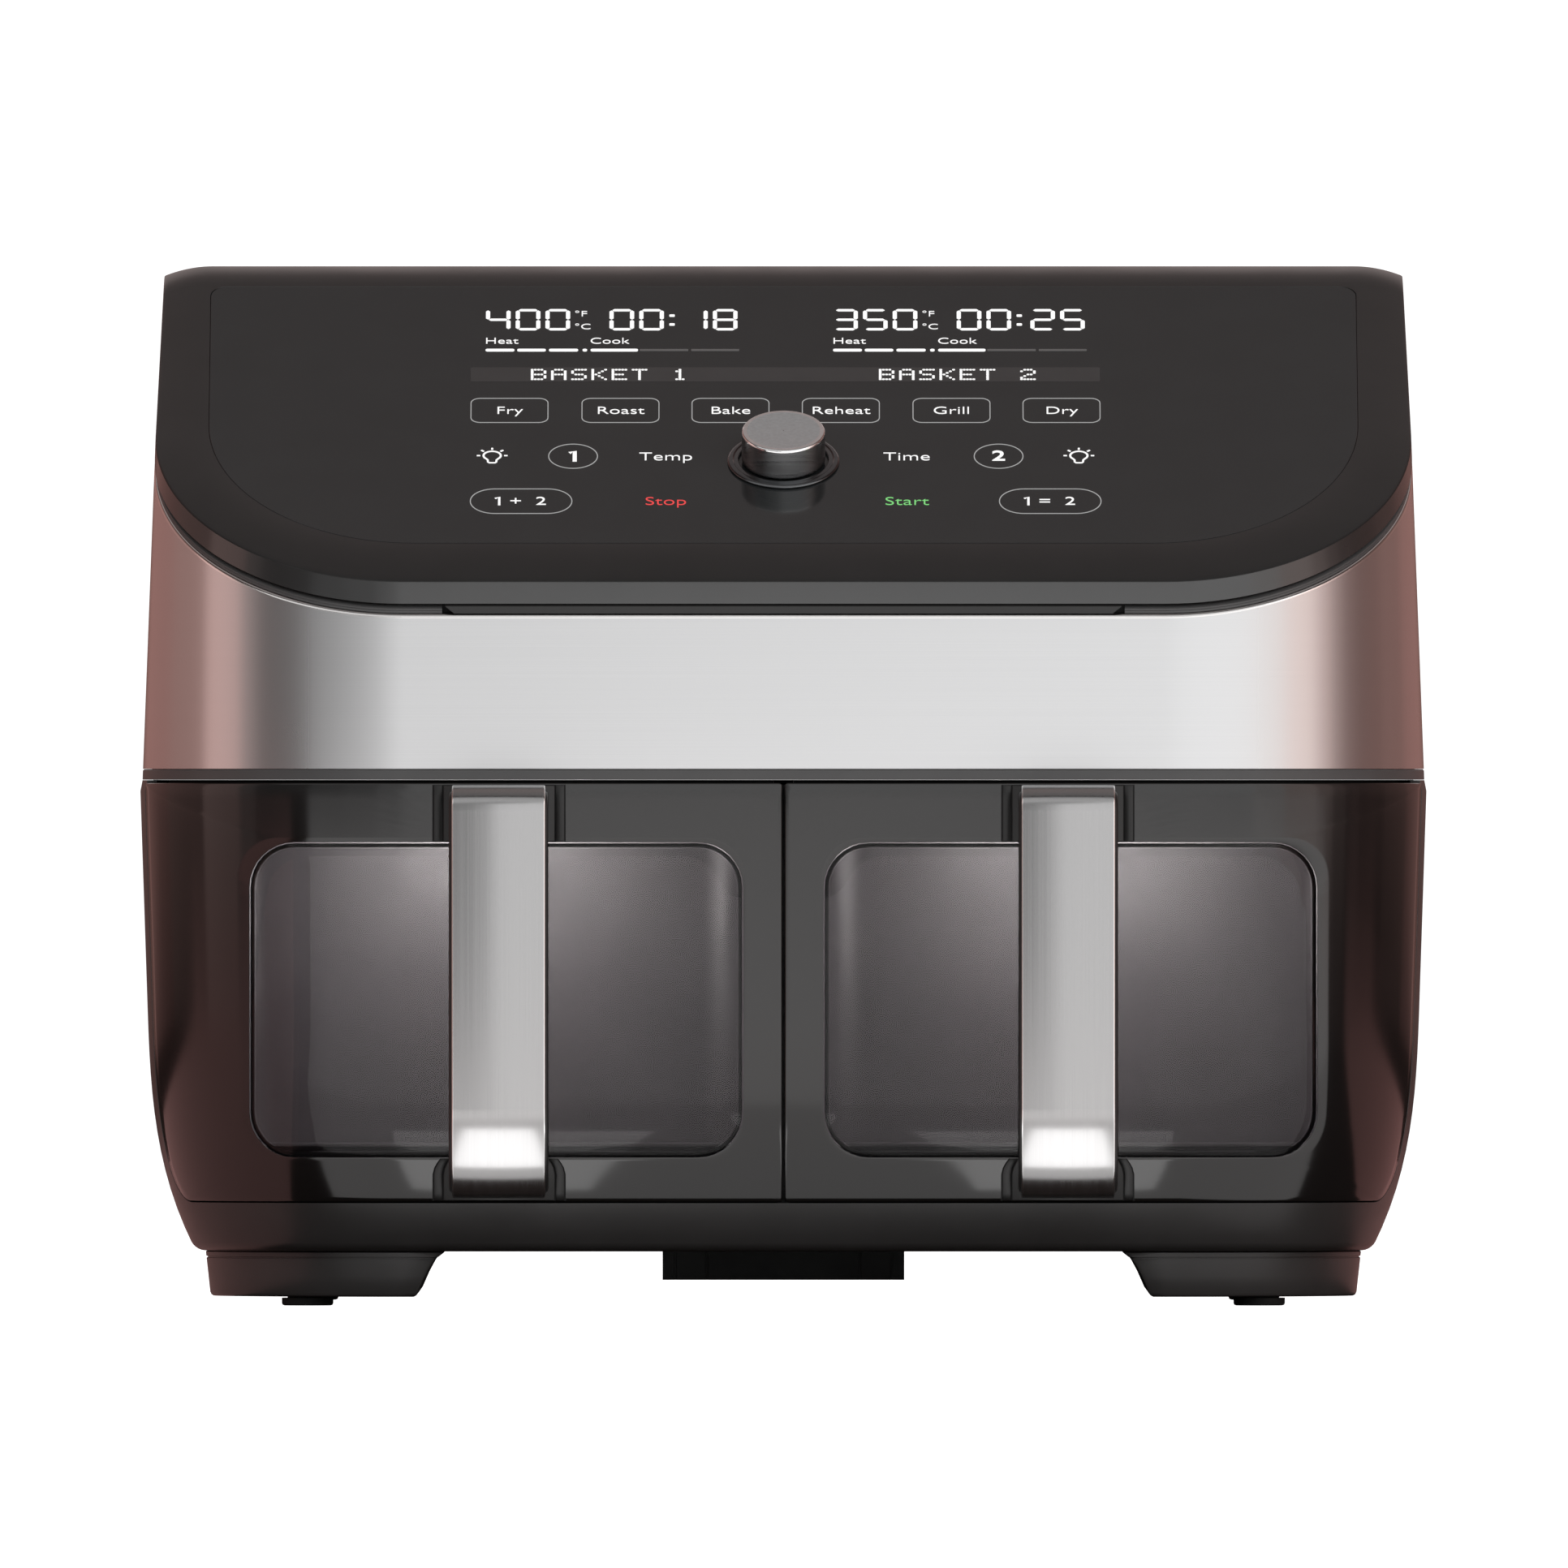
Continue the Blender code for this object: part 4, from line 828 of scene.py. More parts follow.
def panel_loop(grow, rise):
    """Outline of the touch panel, grown in plan, `rise` above the panel plane."""
    x, y, r = PANEL_HALF_WIDTH + grow, EDGE_FRONT_Y + ROLL_WIDTH - grow, PANEL_CORNER + grow
    rear, small = SLOPE_END_Y - 1.0 + grow, 5.0
    half = arc(x - r, y + r, r, -90, 0, 30) + arc(x - small, rear - small, small, 0, 90, 6)
    points = []
    for px, py in half:
        points.append((px, py, EDGE_FRONT_Z + ROLL_RISE + (py - EDGE_FRONT_Y) * SLOPE + rise))
    return points + flipped(points)


def stem_hole():
    """Tool for the hole that the dial's stem passes through."""
    return turned([(STEM_HOLE_RADIUS, -20.0), (STEM_HOLE_RADIUS, 20.0)], DIAL_FRAME, 32)


def touch_panel():
    loops = [panel_loop(0.0, -1.5), panel_loop(0.0, -0.12), panel_loop(-0.12, 0.0)]
    panel = piece("touch_panel_fine", cover(loops, caps="strips"), ["panel"])
    combine(panel, stem_hole(), "DIFFERENCE")
    place(sharpen(panel, 24.0), "housing", "panel_gloss", "touch_panel")


def dial_and_bezel():
    top, rim = 11.3, 13.0
    profile = [(2.8, -7.0), (2.8, 0.8), (12.0, 0.8), (12.0, 1.1), (rim - 0.2, 1.1), (rim, 1.3), (rim, top - 0.9)]
    profile += [(rim - 0.9 + r, top - 0.9 + h) for r, h in arc(0.0, 0.0, 0.9, 15, 90, 6)]
    profile += [(rim - 1.6, top - 0.06), (rim - 1.9, top - 0.12), (0.2, top - 0.12)]
    last = len(profile) - 2

    def paint(i, k):
        if i >= last - 1:
            return 1
        return 2 if 6 <= i < last - 1 else 0
    made = turned(profile, DIAL_FRAME, 96, paint=paint)
    place(piece("dial_fine", made, ["dial_side", "dial_top", "dial_rim"]), "dial_knob", "grey_plastic", "dial")
    ring = [(14.0, 0.35), (17.4, 0.35), (17.4, 0.6), (17.1, 0.95), (16.5, 1.2), (15.8, 1.25), (15.4, 0.95),
            (15.1, 0.95), (14.8, 1.1), (14.2, 1.1), (14.0, 0.9)]
    made = turned(ring, DIAL_FRAME, 96, ring=True)
    place(piece("dial_bezel_fine", made, ["bezel"]), "housing", "grey_plastic", "dial_bezel")


# ---------------------------------------------------------------- drawers

def seam_u(z, depth):
    """Distance along the skin to the seam with the tub's side wall."""
    r = FRONT_CORNER - inset(z) - depth
    return FLAT_END + FRONT_CORNER * math.acos((SEAM_DROP + GAP) / r)


def outer_uz(shrink, depth, inner_x):
    """Outline of the drawer front in (u, z)."""
    reach = 231.0
    outline = rounded_outline(inner_x + shrink, reach - shrink, SILL_Z + GAP + shrink, DRAWER_TOP_Z - shrink,
                              (12.0 - shrink, 1.0, 1.0, 1.0))
    return [(inner_x + (u - inner_x) * (seam_u(z, depth) - inner_x) / (reach - inner_x), z) for u, z in outline]


def window_uz(shrink, depth):
    """Outline of the window in (u, z); its sides are upright as seen from the front."""
    x0, x1 = WINDOW_X
    z0, z1 = WINDOW_Z
    outline = rounded_outline(x0 + shrink, x1 - shrink, z0 + shrink, z1 - shrink, (WINDOW_CORNER - shrink,) * 4)
    points = []
    for x, z in outline:
        r = FRONT_CORNER - inset(z) - depth
        u = x if x <= FLAT_END else FLAT_END + FRONT_CORNER * math.asin((x - FLAT_END) / r)
        points.append((u, z))
    return points


def on_skin(outline, depth):
    return [skin_point(u, z, depth) for u, z in outline]


def between(first, second, steps):
    """Outlines strictly between two matching outlines."""
    rows = []
    for j in range(1, steps):
        t = j / steps
        rows.append([(a + (c - a) * t, b + (d - b) * t) for (a, b), (c, d) in zip(first, second)])
    return rows


def framed_layer(near, far, inner_x, soft):
    """A layer of the drawer front between two depths, with the window opening and softened edges."""
    edge = soft * 0.06
    front_out, front_in = outer_uz(soft, near, inner_x), window_uz(-edge, near)
    back_out, back_in = outer_uz(0.0, far, inner_x), window_uz(0.0, far)
    loops = [on_skin(front_out, near)]
    loops += [on_skin(row, near) for row in between(front_out, front_in, 12)]
    loops += [on_skin(front_in, near), on_skin(window_uz(-edge * 0.3, near + edge * 0.3), near + edge * 0.3)]
    loops += [on_skin(window_uz(0.0, near + edge), near + edge), on_skin(back_in, far)]
    loops += [on_skin(row, far) for row in between(back_in, back_out, 8)]
    loops += [on_skin(back_out, far), on_skin(outer_uz(0.0, near + soft, inner_x), near + soft)]
    loops.append(on_skin(outer_uz(soft * 0.3, near + soft * 0.3, inner_x), near + soft * 0.3))
    return cover(loops, ring=True)


def pane(near, far, shrink):
    """Curved pane inside the window, made of outlines that shrink to its middle."""
    def loop(depth, share, extra):
        outline = window_uz(shrink + extra, depth)
        zs, us = [z for _, z in outline], [u for u, _ in outline]
        cz, cu = (min(zs) + max(zs)) / 2, (min(us) + max(us)) / 2
        return on_skin([(cu + (u - cu) * share, cz + (z - cz) * share) for u, z in outline], depth)
    shares = [0.02 + 0.98 * k / 12 for k in range(13)]
    loops = [loop(near, share, 0.02) for share in shares] + [loop(near + 0.02, 1.0, 0.0), loop(far, 1.0, 0.0)]
    return cover(loops + [loop(far, share, 0.0) for share in reversed(shares[:-1])])


def drawer_fronts():
    both("drawer_front", "{}_drawer", "dark_plastic",
         piece("drawer_front", framed_layer(0.0, 9.0, 0.4, 0.5), ["gloss_dark"], 50.0))
    both("drawer_frame", "{}_drawer", "black_plastic",
         piece("drawer_frame", framed_layer(9.35, 17.3, 3.0, 0.4), ["black_plastic"], 50.0))
    both("window_glass", "{}_drawer", "glass", piece("window_glass", pane(0.5, 4.5, 0.3), ["glass"], 50.0))
    both("inner_glass", "{}_drawer", "glass", piece("inner_glass", pane(13.0, 16.0, 1.9), ["clear_glass"], 50.0))
    rows = [(0.35, 13.2), (0.55, 13.0), (1.35, 13.0), (1.55, 13.2), (1.55, 15.8), (1.35, 16.0), (0.55, 16.0),
            (0.35, 15.8)]
    seal = cover([on_skin(window_uz(shrink, depth), depth) for shrink, depth in rows], ring=True)
    both("window_seal", "{}_drawer", "silicone", piece("window_seal", seal, ["silicone"], 50.0))


def top_seals():
    """Soft lip along the top of each drawer frame in near-black, painted shade that darkens the gap under the deck.
    """
    section = ((7.0, 162.0), (7.0, 163.25), (7.2, 163.4), (9.4, 163.4), (9.6, 163.25), (9.6, 162.0))
    stations = [3.2 + 225.0 * k / 48 for k in range(49)]
    rows = [[skin_point(u, z, depth) for depth, z in section] for u in stations]
    made = piece("right_top_seal", cover(rows), ["gap_black"], 50.0)
    place(made, "right_drawer", "silicone")
    place(mirrored(made, "left_top_seal"), "left_drawer", "silicone")


def handle_line(t):
    """Side profile of the handle at distance t inside its outer face."""
    top, low = 8.0, 28.0
    points = [(-150.4, HANDLE_TOP_Z - t)]
    points += arc(HANDLE_FRONT_Y + top, HANDLE_TOP_Z - top, top - t, 90, 180, 12)
    points += arc(HANDLE_FRONT_Y + low, HANDLE_BOTTOM_Z + low, low - t, 180, 270, 20)
    return points + [(-142.9, HANDLE_BOTTOM_Z + t)]


def handle_bar(width, near, far, soft):
    """Bent bar with softened long edges."""
    half = width / 2
    thick = far - near
    rows = []
    for (y0, z0), (y1, z1) in zip(handle_line(near), handle_line(far)):
        def at(x, depth):
            t = depth / thick
            return (HANDLE_X + x, y0 + (y1 - y0) * t, z0 + (z1 - z0) * t)
        s, m = soft, soft * 0.3
        rows.append([at(-half + s, 0), at(half - s, 0), at(half - m, m), at(half, s), at(half, thick - s),
                     at(half - m, thick - m), at(half - s, thick), at(-half + s, thick), at(-half + m, thick - m),
                     at(-half, thick - s), at(-half, s), at(-half + m, m)])
    return rows


def handles():
    # The strap's faces take the darkened steel, painted shade, and its rounded edges and sides the brighter steel,
    # painted highlight.
    edge = cover(handle_bar(29.0, 0.0, 1.5, 0.45), paint=lambda i, k: 0 if k in (0, 6) else 1)
    both("handle_strap", "{}_drawer", "steel", piece("strap", edge, ["strap_steel", "steel_edge"], 50.0))
    core = cover(handle_bar(30.8, 1.8, 7.8, 1.2))
    both("handle_core", "{}_drawer", "black_plastic", piece("core", core, ["black_plastic"], 50.0))


def handle_mounts():
    """Stepped plates on the drawer front behind each end of the handle, with their outer edge and groove painted
    near-black as the shade in their gaps.
    """
    half = [(20.7, 0.3), (20.7, -0.05), (20.25, -0.05), (20.2, -0.4), (20.0, -0.5), (17.9, -0.5), (17.7, -0.4),
            (17.65, -0.05), (17.25, -0.05), (17.2, -0.6), (17.0, -0.75)]
    profile = half + [(-x, d) for x, d in reversed(half)]
    # faces painted near-black: painted shade along the plate's outer edge and groove
    dark = {0, 1, 6, 7, 8}

    def paint(i, k):
        return 1 if k in dark or (len(profile) - 2 - k) in dark else 0
    spans = (("upper", [144.35, 144.6] + [148.0 + 3.5 * k for k in range(4)] + [161.6, 161.95]),
             ("lower", [32.75, 33.0] + [35.0 + 2.0 * k for k in range(5)] + [44.6, 45.4, 45.9]))
    for label, levels in spans:
        loops = []
        for z in levels:
            narrow = 1.0 - 0.12 * (max(0.0, z - 40.5) / 5.4) ** 2 if label == "lower" else 1.0
            proud = 1.0 if levels[0] < z < levels[-1] else 0.4
            loops.append([(HANDLE_X + x * narrow, FRONT_Y + inset(z) + (d * proud if d < 0 else d), z)
                          for x, d in profile])
        made = piece(f"right_{label}_mount", cover(loops, paint=paint), ["black_plastic", "gap_black"], 40.0)
        twin = mirrored(made, f"left_{label}_mount")
        place(made, "right_drawer", "black_plastic")
        place(twin, "left_drawer", "black_plastic")


# ---------------------------------------------------------------- baskets and trays

def basket_plan(d, wall):
    """Plan of the basket, moved in by a wall."""
    x1, y0, r = HALF_WIDTH - d - wall, FRONT_Y + d + wall, 18.0 - wall
    rear = 108.0 - wall
    points = front_arc(d + wall, 24) + arc(x1 - r, rear - r, r, 0, 90, 8)
    inner_x = 7.0 + (d - BASKET_DEPTH) * 0.25 + wall
    points += arc(inner_x + r, rear - r, r, 90, 180, 8)
    return points + arc(inner_x + r, y0 + r, r, 180, 270, 8)


def baskets():
    """Pan with a rounded floor edge, a rolled rim and an opening behind the window."""
    def loop(z, wall):
        return [(x, y, z) for x, y in basket_plan(inset(z) + BASKET_DEPTH, wall)]
    bend = [math.radians(90 * k / 5) for k in range(6)]
    levels = (50.0, 58.0, 66.0, 76.0, TUCK_Z, 120.0, 148.6)
    outer = [loop(36.5 + 6.0 * (1 - math.cos(a)), 6.0 * (1 - math.sin(a))) for a in bend]
    inner = [loop(38.0 + 5.0 * (1 - math.cos(a)), PAN_WALL + 5.0 * (1 - math.sin(a))) for a in bend]
    outer += [loop(z, 0.0) for z in levels]
    inner += [loop(z, PAN_WALL) for z in levels]
    rim = [[(x, y, z) for x, y in basket_plan(inset(150.0) + BASKET_DEPTH, wall)]
           for wall, z in ((0.1, 149.6), (0.6, 150.0), (1.2, 150.0), (1.5, 149.6))]
    pan = piece("basket", cover(outer + rim + inner[::-1]), ["coated"])
    opening = rounded_outline(12.0, 166.5, 45.8, 144.5, (14.2,) * 4, 4, 4, 8)
    combine(pan, prism_y(opening, -150.0, -90.0), "DIFFERENCE")
    both("basket", "{}_drawer", "coated_metal", sharpen(pan, 40.0))


def trays():
    """Crisper plate with a raised rim, slots and four feet."""
    z = TRAY_Z
    d = inset(z) + BASKET_DEPTH
    section = ((6.0, z), (4.2, z + 0.1), (4.0, z + 0.8), (4.0, z + 1.5), (4.4, z + 1.6), (6.0, z + 1.6))
    plate = piece("tray", cover([[(x, y, h) for x, y in basket_plan(d, wall)] for wall, h in section]), ["coated"])
    for row in range(6):
        y = -96.0 + 32.0 * row
        for column in range(3):
            x = 28.0 + 44.0 * column
            outline = rounded_outline(x, x + 34.0, y, y + 9.0, (4.4,) * 4, 2, 1, 6)
            combine(plate, prism_z(outline, z - 5, z + 5), "DIFFERENCE")
    for x, y in ((24.0, -108.0), (150.0, -80.0), (24.0, 86.0), (158.0, 86.0)):
        leg = [(3.0, 38.35), (3.4, 39.0), (3.4, z + 0.8)]
        combine(plate, turned(leg, Matrix.Translation((x, y, 0.0)), 16), "UNION")
    both("crisper_tray", "{}_tray", "coated_metal", soften(sharpen(plate, 40.0), 0.2))


# ---------------------------------------------------------------- inside

def inner_frame():
    return Matrix.Translation((AIR_X, AIR_Y, 0.0))


def along_y(x, y, z):
    """Local frame whose z axis points to the rear."""
    return Matrix.Translation((x, y, z)) @ Matrix.Rotation(-math.pi / 2, 4, "X")


def tube(path, radius):
    """Round bar with domed ends along a path that stays near one plane."""
    points = [Vector(p) for p in path]
    first, last = (points[0] - points[1]).normalized(), (points[-1] - points[-2]).normalized()
    spine = [(points[0] + first * radius * 0.8, 0.4), (points[0] + first * radius * 0.5, 0.8)]
    spine += [(p, 1.0) for p in points]
    spine += [(points[-1] + last * radius * 0.5, 0.8), (points[-1] + last * radius * 0.8, 0.4)]
    loops = []
    for k, (point, share) in enumerate(spine):
        along = (spine[min(k + 1, len(spine) - 1)][0] - spine[max(k - 1, 0)][0]).normalized()
        side = along.cross(Vector((0.31, 0.17, 0.93))).normalized()
        other = along.cross(side)
        angles = [2 * math.pi * j / 14 for j in range(14)]
        loops.append([point + radius * share * (math.cos(a) * side + math.sin(a) * other) for a in angles])
    return cover(loops)


def chambers():
    """Folded liner with rounded rear corners, a turned front lip and shallow side ribs."""
    def plan(grow, r):
        x0, x1, y0, y1 = 3.0 + grow, 184.2 - grow, -82.5, 120.0 - grow
        return [(x0, y0)] + [(x1, y0)] + arc(x1 - r, y1 - r, r, 0, 90, 8) + arc(x0 + r, y1 - r, r, 90, 180, 8)
    liner = piece("chamber", prism_z(plan(0.0, 9.0), 33.6, 163.0), ["sheet_metal"])
    inside = [(x, y - (12.0 if y < -80.0 else 0.0)) for x, y in plan(1.2, 7.8)]
    combine(liner, prism_z(inside, 34.8, 170.0), "DIFFERENCE")
    hole = turned([(4.6, -5.0), (4.6, 5.0)], along_y(AIR_X, 120.0, SWITCH_Z), 24)
    combine(liner, hole, "DIFFERENCE")
    for z in (64.0, 100.0, 136.0):
        rib = [(4.1, z - 3.0), (4.8, z - 1.5), (4.8, z + 1.5), (4.1, z + 3.0)]
        combine(liner, prism_y(rib, -74.0, 96.0), "UNION")
    both("chamber", "housing", "sheet_metal", sharpen(liner, 40.0))


def heating_elements():
    path = []
    for k in range(65):
        a = math.radians(22.0 + 316.0 * k / 64 - 90.0)
        path.append((AIR_X + 58.0 * math.cos(a), AIR_Y + 58.0 * math.sin(a), 174.0))
    first, last = Vector(path[0]), Vector(path[-1])

    def ends(point, along):
        bend = [point + along * 5.0 * math.sin(math.radians(a))
                + Vector((0, 0, 5.0 * (1 - math.cos(math.radians(a)))))
                for a in (30, 60, 90)]
        return bend + [bend[-1] + Vector((0, 0, 20.0))]
    start = ends(first, (first - Vector(path[1])).normalized())
    finish = ends(last, (last - Vector(path[-2])).normalized())
    path = start[::-1] + path + finish
    both("heating_element", "housing", "sheet_metal", piece("element", tube(path, 3.4), ["element"], 50.0))


def element_guards():
    """Disc with rounded slots and a rolled rim under the element."""
    low = DECK_Z + 0.4
    rim = [(73.5, low + 0.3), (73.5, low + 1.1), (73.2, low + 1.4), (72.6, low + 1.4), (72.2, low + 1.1),
           (0.2, low + 1.1), (0.2, low), (73.2, low)]
    guard = piece("guard", turned(rim[::-1], inner_frame(), 96), ["sheet_metal"])
    for k in range(12):
        turn = inner_frame() @ Matrix.Rotation(math.radians(30 * k), 4, "Z")
        outline = rounded_outline(18.0, 64.0, -3.5, 3.5, (3.4,) * 4, 2, 1, 6)
        combine(guard, prism_z(outline, DECK_Z - 5, DECK_Z + 5, turn), "DIFFERENCE")
    both("element_guard", "housing", "sheet_metal", sharpen(guard, 40.0))


def chamber_lamps():
    profile = [(0.3, 153.6), (2.2, 153.7), (4.0, 154.2), (5.5, 155.1), (6.5, 156.4), (7.0, 157.8), (7.1, 158.4),
               (8.9, 158.4), (9.4, 158.7), (9.5, 159.2), (9.5, 162.9), (9.2, 163.1), (0.3, 163.1)]
    made = turned(profile, Matrix.Translation((AIR_X, -104.0, 0.0)), 48, paint=lambda i, k: 0 if i < 6 else 1)
    both("chamber_lamp", "housing", "lamp_glass", piece("lamp", made, ["lamp_glow", "black_plastic"], 50.0))


def switch_plungers():
    profile = [(0.3, 108.6), (2.6, 108.7), (3.4, 109.0), (3.9, 109.8), (3.9, 110.3), (3.6, 110.6), (2.6, 110.7),
               (2.6, 126.0)]
    made = turned(profile, along_y(AIR_X, 0.0, SWITCH_Z), 40)
    both("switch_plunger", "{}_plunger", "rubber", piece("plunger", made, ["rubber"], 50.0))


def cord_gland():
    profile = [(3.5, 0.3), (3.8, 0.0), (10.7, 0.0), (11.0, 0.3), (11.0, 2.3), (10.6, 2.6), (7.2, 2.6), (7.0, 3.0)]
    for k in range(4):
        y = 3.4 + 2.2 * k
        r = 6.9 - 0.28 * k
        profile += [(r, y), (r, y + 1.2), (r - 0.9, y + 1.4), (r - 0.9, y + 2.1)]
    profile += [(5.7, 12.3), (3.8, 12.4), (3.5, 12.1)]
    made = turned(profile, along_y(-120.0, 178.9, 110.0), 48, ring=True)
    place(piece("cord_gland_fine", made, ["black_plastic"]), "housing", "black_plastic", "cord_gland")


# ---------------------------------------------------------------- legends on the touch panel

class Legend:
    """Thin raised shapes on the panel, gathered into one mesh; lengths in the panel's own plane."""

    def __init__(self, name, look, slot, top=0.12):
        self.name, self.look, self.slot, self.top = name, look, slot, top
        self.builder = bmesh.new()

    def add(self, made):
        mesh = bpy.data.meshes.new("legend")
        made.to_mesh(mesh)
        made.free()
        self.builder.from_mesh(mesh)
        bpy.data.meshes.remove(mesh)

    def shape(self, points):
        """A closed outline as a solid a fraction of a millimetre thick."""
        self.add(cover([[(u, v, n) for u, v in points] for n in (-0.05, self.top)]))

    def stroke(self, points, width, closed=False):
        """A line of even width along a path."""
        sections = []
        count = len(points)
        for k, (u, v) in enumerate(points):
            before = points[k - 1] if closed or k else points[0]
            after = points[(k + 1) % count] if closed or k < count - 1 else points[-1]
            along = Vector((after[0] - before[0], after[1] - before[1])).normalized() * width / 2
            a, b = (u + along.y, v - along.x), (u - along.y, v + along.x)
            sections.append([(*a, -0.05), (*b, -0.05), (*b, self.top), (*a, self.top)])
        self.add(cover(sections, ring=closed))

    def word(self, text, u, v, size, align="CENTER", bold=0.0):
        """Plain lettering in Blender's built-in font, its middle or left end at (u, v)."""
        curve = bpy.data.curves.new("word", "FONT")
        curve.body = text
        curve.size = size
        curve.align_x = align
        curve.align_y = "CENTER"
        curve.extrude = 0.06
        curve.offset = bold
        curve.resolution_u = 5
        holder = bpy.data.objects.new("word", curve)
        bpy.context.scene.collection.objects.link(holder)
        bpy.context.view_layer.update()
        mesh = bpy.data.meshes.new_from_object(holder.evaluated_get(bpy.context.evaluated_depsgraph_get()))
        mesh.transform(Matrix.Translation((u, v, self.top - 0.06)))
        self.builder.from_mesh(mesh)
        bpy.data.objects.remove(holder)
        bpy.data.meshes.remove(mesh)

    def finish(self):
        bmesh.ops.transform(self.builder, matrix=DIAL_FRAME, verts=self.builder.verts)
        place(piece(self.name, self.builder, [self.look]), "housing", self.slot)


def one(legend, u, v, height, width):
    """Figure one with a flag, its stem at u."""
    top, reach = v + height / 2, height * 0.24
    legend.stroke([(u - reach, top - reach * 0.8), (u, top - width * 0.2), (u, v - height / 2)], width)


def rounded(cu, cv, width, height, r, corner=6):
    return rounded_outline(cu - width / 2, cu + width / 2, cv - height / 2, cv + height / 2, (r,) * 4, 1, 1, corner)


SEGMENTS = {"0": "abcdef", "1": "bc", "2": "abged", "3": "abgcd", "4": "fgbc", "5": "afgcd", "8": "abcdefg"}


def digit(legend, value, u, v, width=6.4, height=12.0, stroke=1.3):
    """Seven-segment figure with its lower left corner at (u, v)."""
    half = height / 2
    ends = {"a": ((0, 2), (1, 2)), "b": ((1, 2), (1, 1)), "c": ((1, 1), (1, 0)), "d": ((0, 0), (1, 0)),
            "e": ((0, 1), (0, 0)), "f": ((0, 2), (0, 1)), "g": ((0, 1), (1, 1))}
    for name in SEGMENTS[value]:
        (a, b), (c, d) = ends[name]
        start, stop = Vector((u + a * width, v + b * half)), Vector((u + c * width, v + d * half))
        along = (stop - start).normalized()
        across = Vector((-along.y, along.x)) * stroke / 2
        start, stop = start + along * 0.25, stop - along * 0.25
        nose = along * stroke / 2
        legend.shape([tuple(p) for p in (start, start + nose - across, stop - nose - across, stop,
                                         stop - nose + across, start + nose + across)])


DOTS = {
    "A": ("01110", "10001", "10001", "11111", "10001", "10001", "10001"),
    "B": ("11110", "10001", "10001", "11110", "10001", "10001", "11110"),
    "E": ("11111", "10000", "10000", "11110", "10000", "10000", "11111"),
    "K": ("10001", "10010", "10100", "11000", "10100", "10010", "10001"),
    "S": ("01111", "10000", "10000", "01110", "00001", "00001", "11110"),
    "T": ("11111", "00100", "00100", "00100", "00100", "00100", "00100"),
    "1": ("00100", "01100", "00100", "00100", "00100", "00100", "01110"),
    "2": ("01110", "10001", "00001", "00110", "01000", "10000", "11111"),
}


def dotted(legend, text, u, v, pitch=1.0, advance=6.3):
    """Dot-matrix lettering with its lower left corner at (u, v)."""
    for place_in_line, letter in enumerate(text):
        for row, line in enumerate(DOTS.get(letter, ())):
            for column, on in enumerate(line):
                if on == "1":
                    x = u + place_in_line * advance + column * pitch
                    legend.shape(rounded(x, v + (6 - row) * pitch, 0.86, 0.86, 0.25, 2))


def lamp_icon(legend, u, v):
    bulb = arc(u, v + 0.6, 2.7, -48, 228, 23)
    base = [(u - 1.35, v - 2.2), (u - 1.3, v - 3.4), (u - 0.9, v - 3.9), (u + 0.9, v - 3.9), (u + 1.3, v - 3.4),
            (u + 1.35, v - 2.2)]
    legend.stroke(bulb + base, 0.62, closed=True)
    for a in (0, 45, 90, 135, 180):
        c, s = math.cos(math.radians(a)), math.sin(math.radians(a))
        legend.stroke([(u + 3.7 * c, v + 0.6 + 3.7 * s), (u + 4.8 * c, v + 0.6 + 4.8 * s)], 0.62)


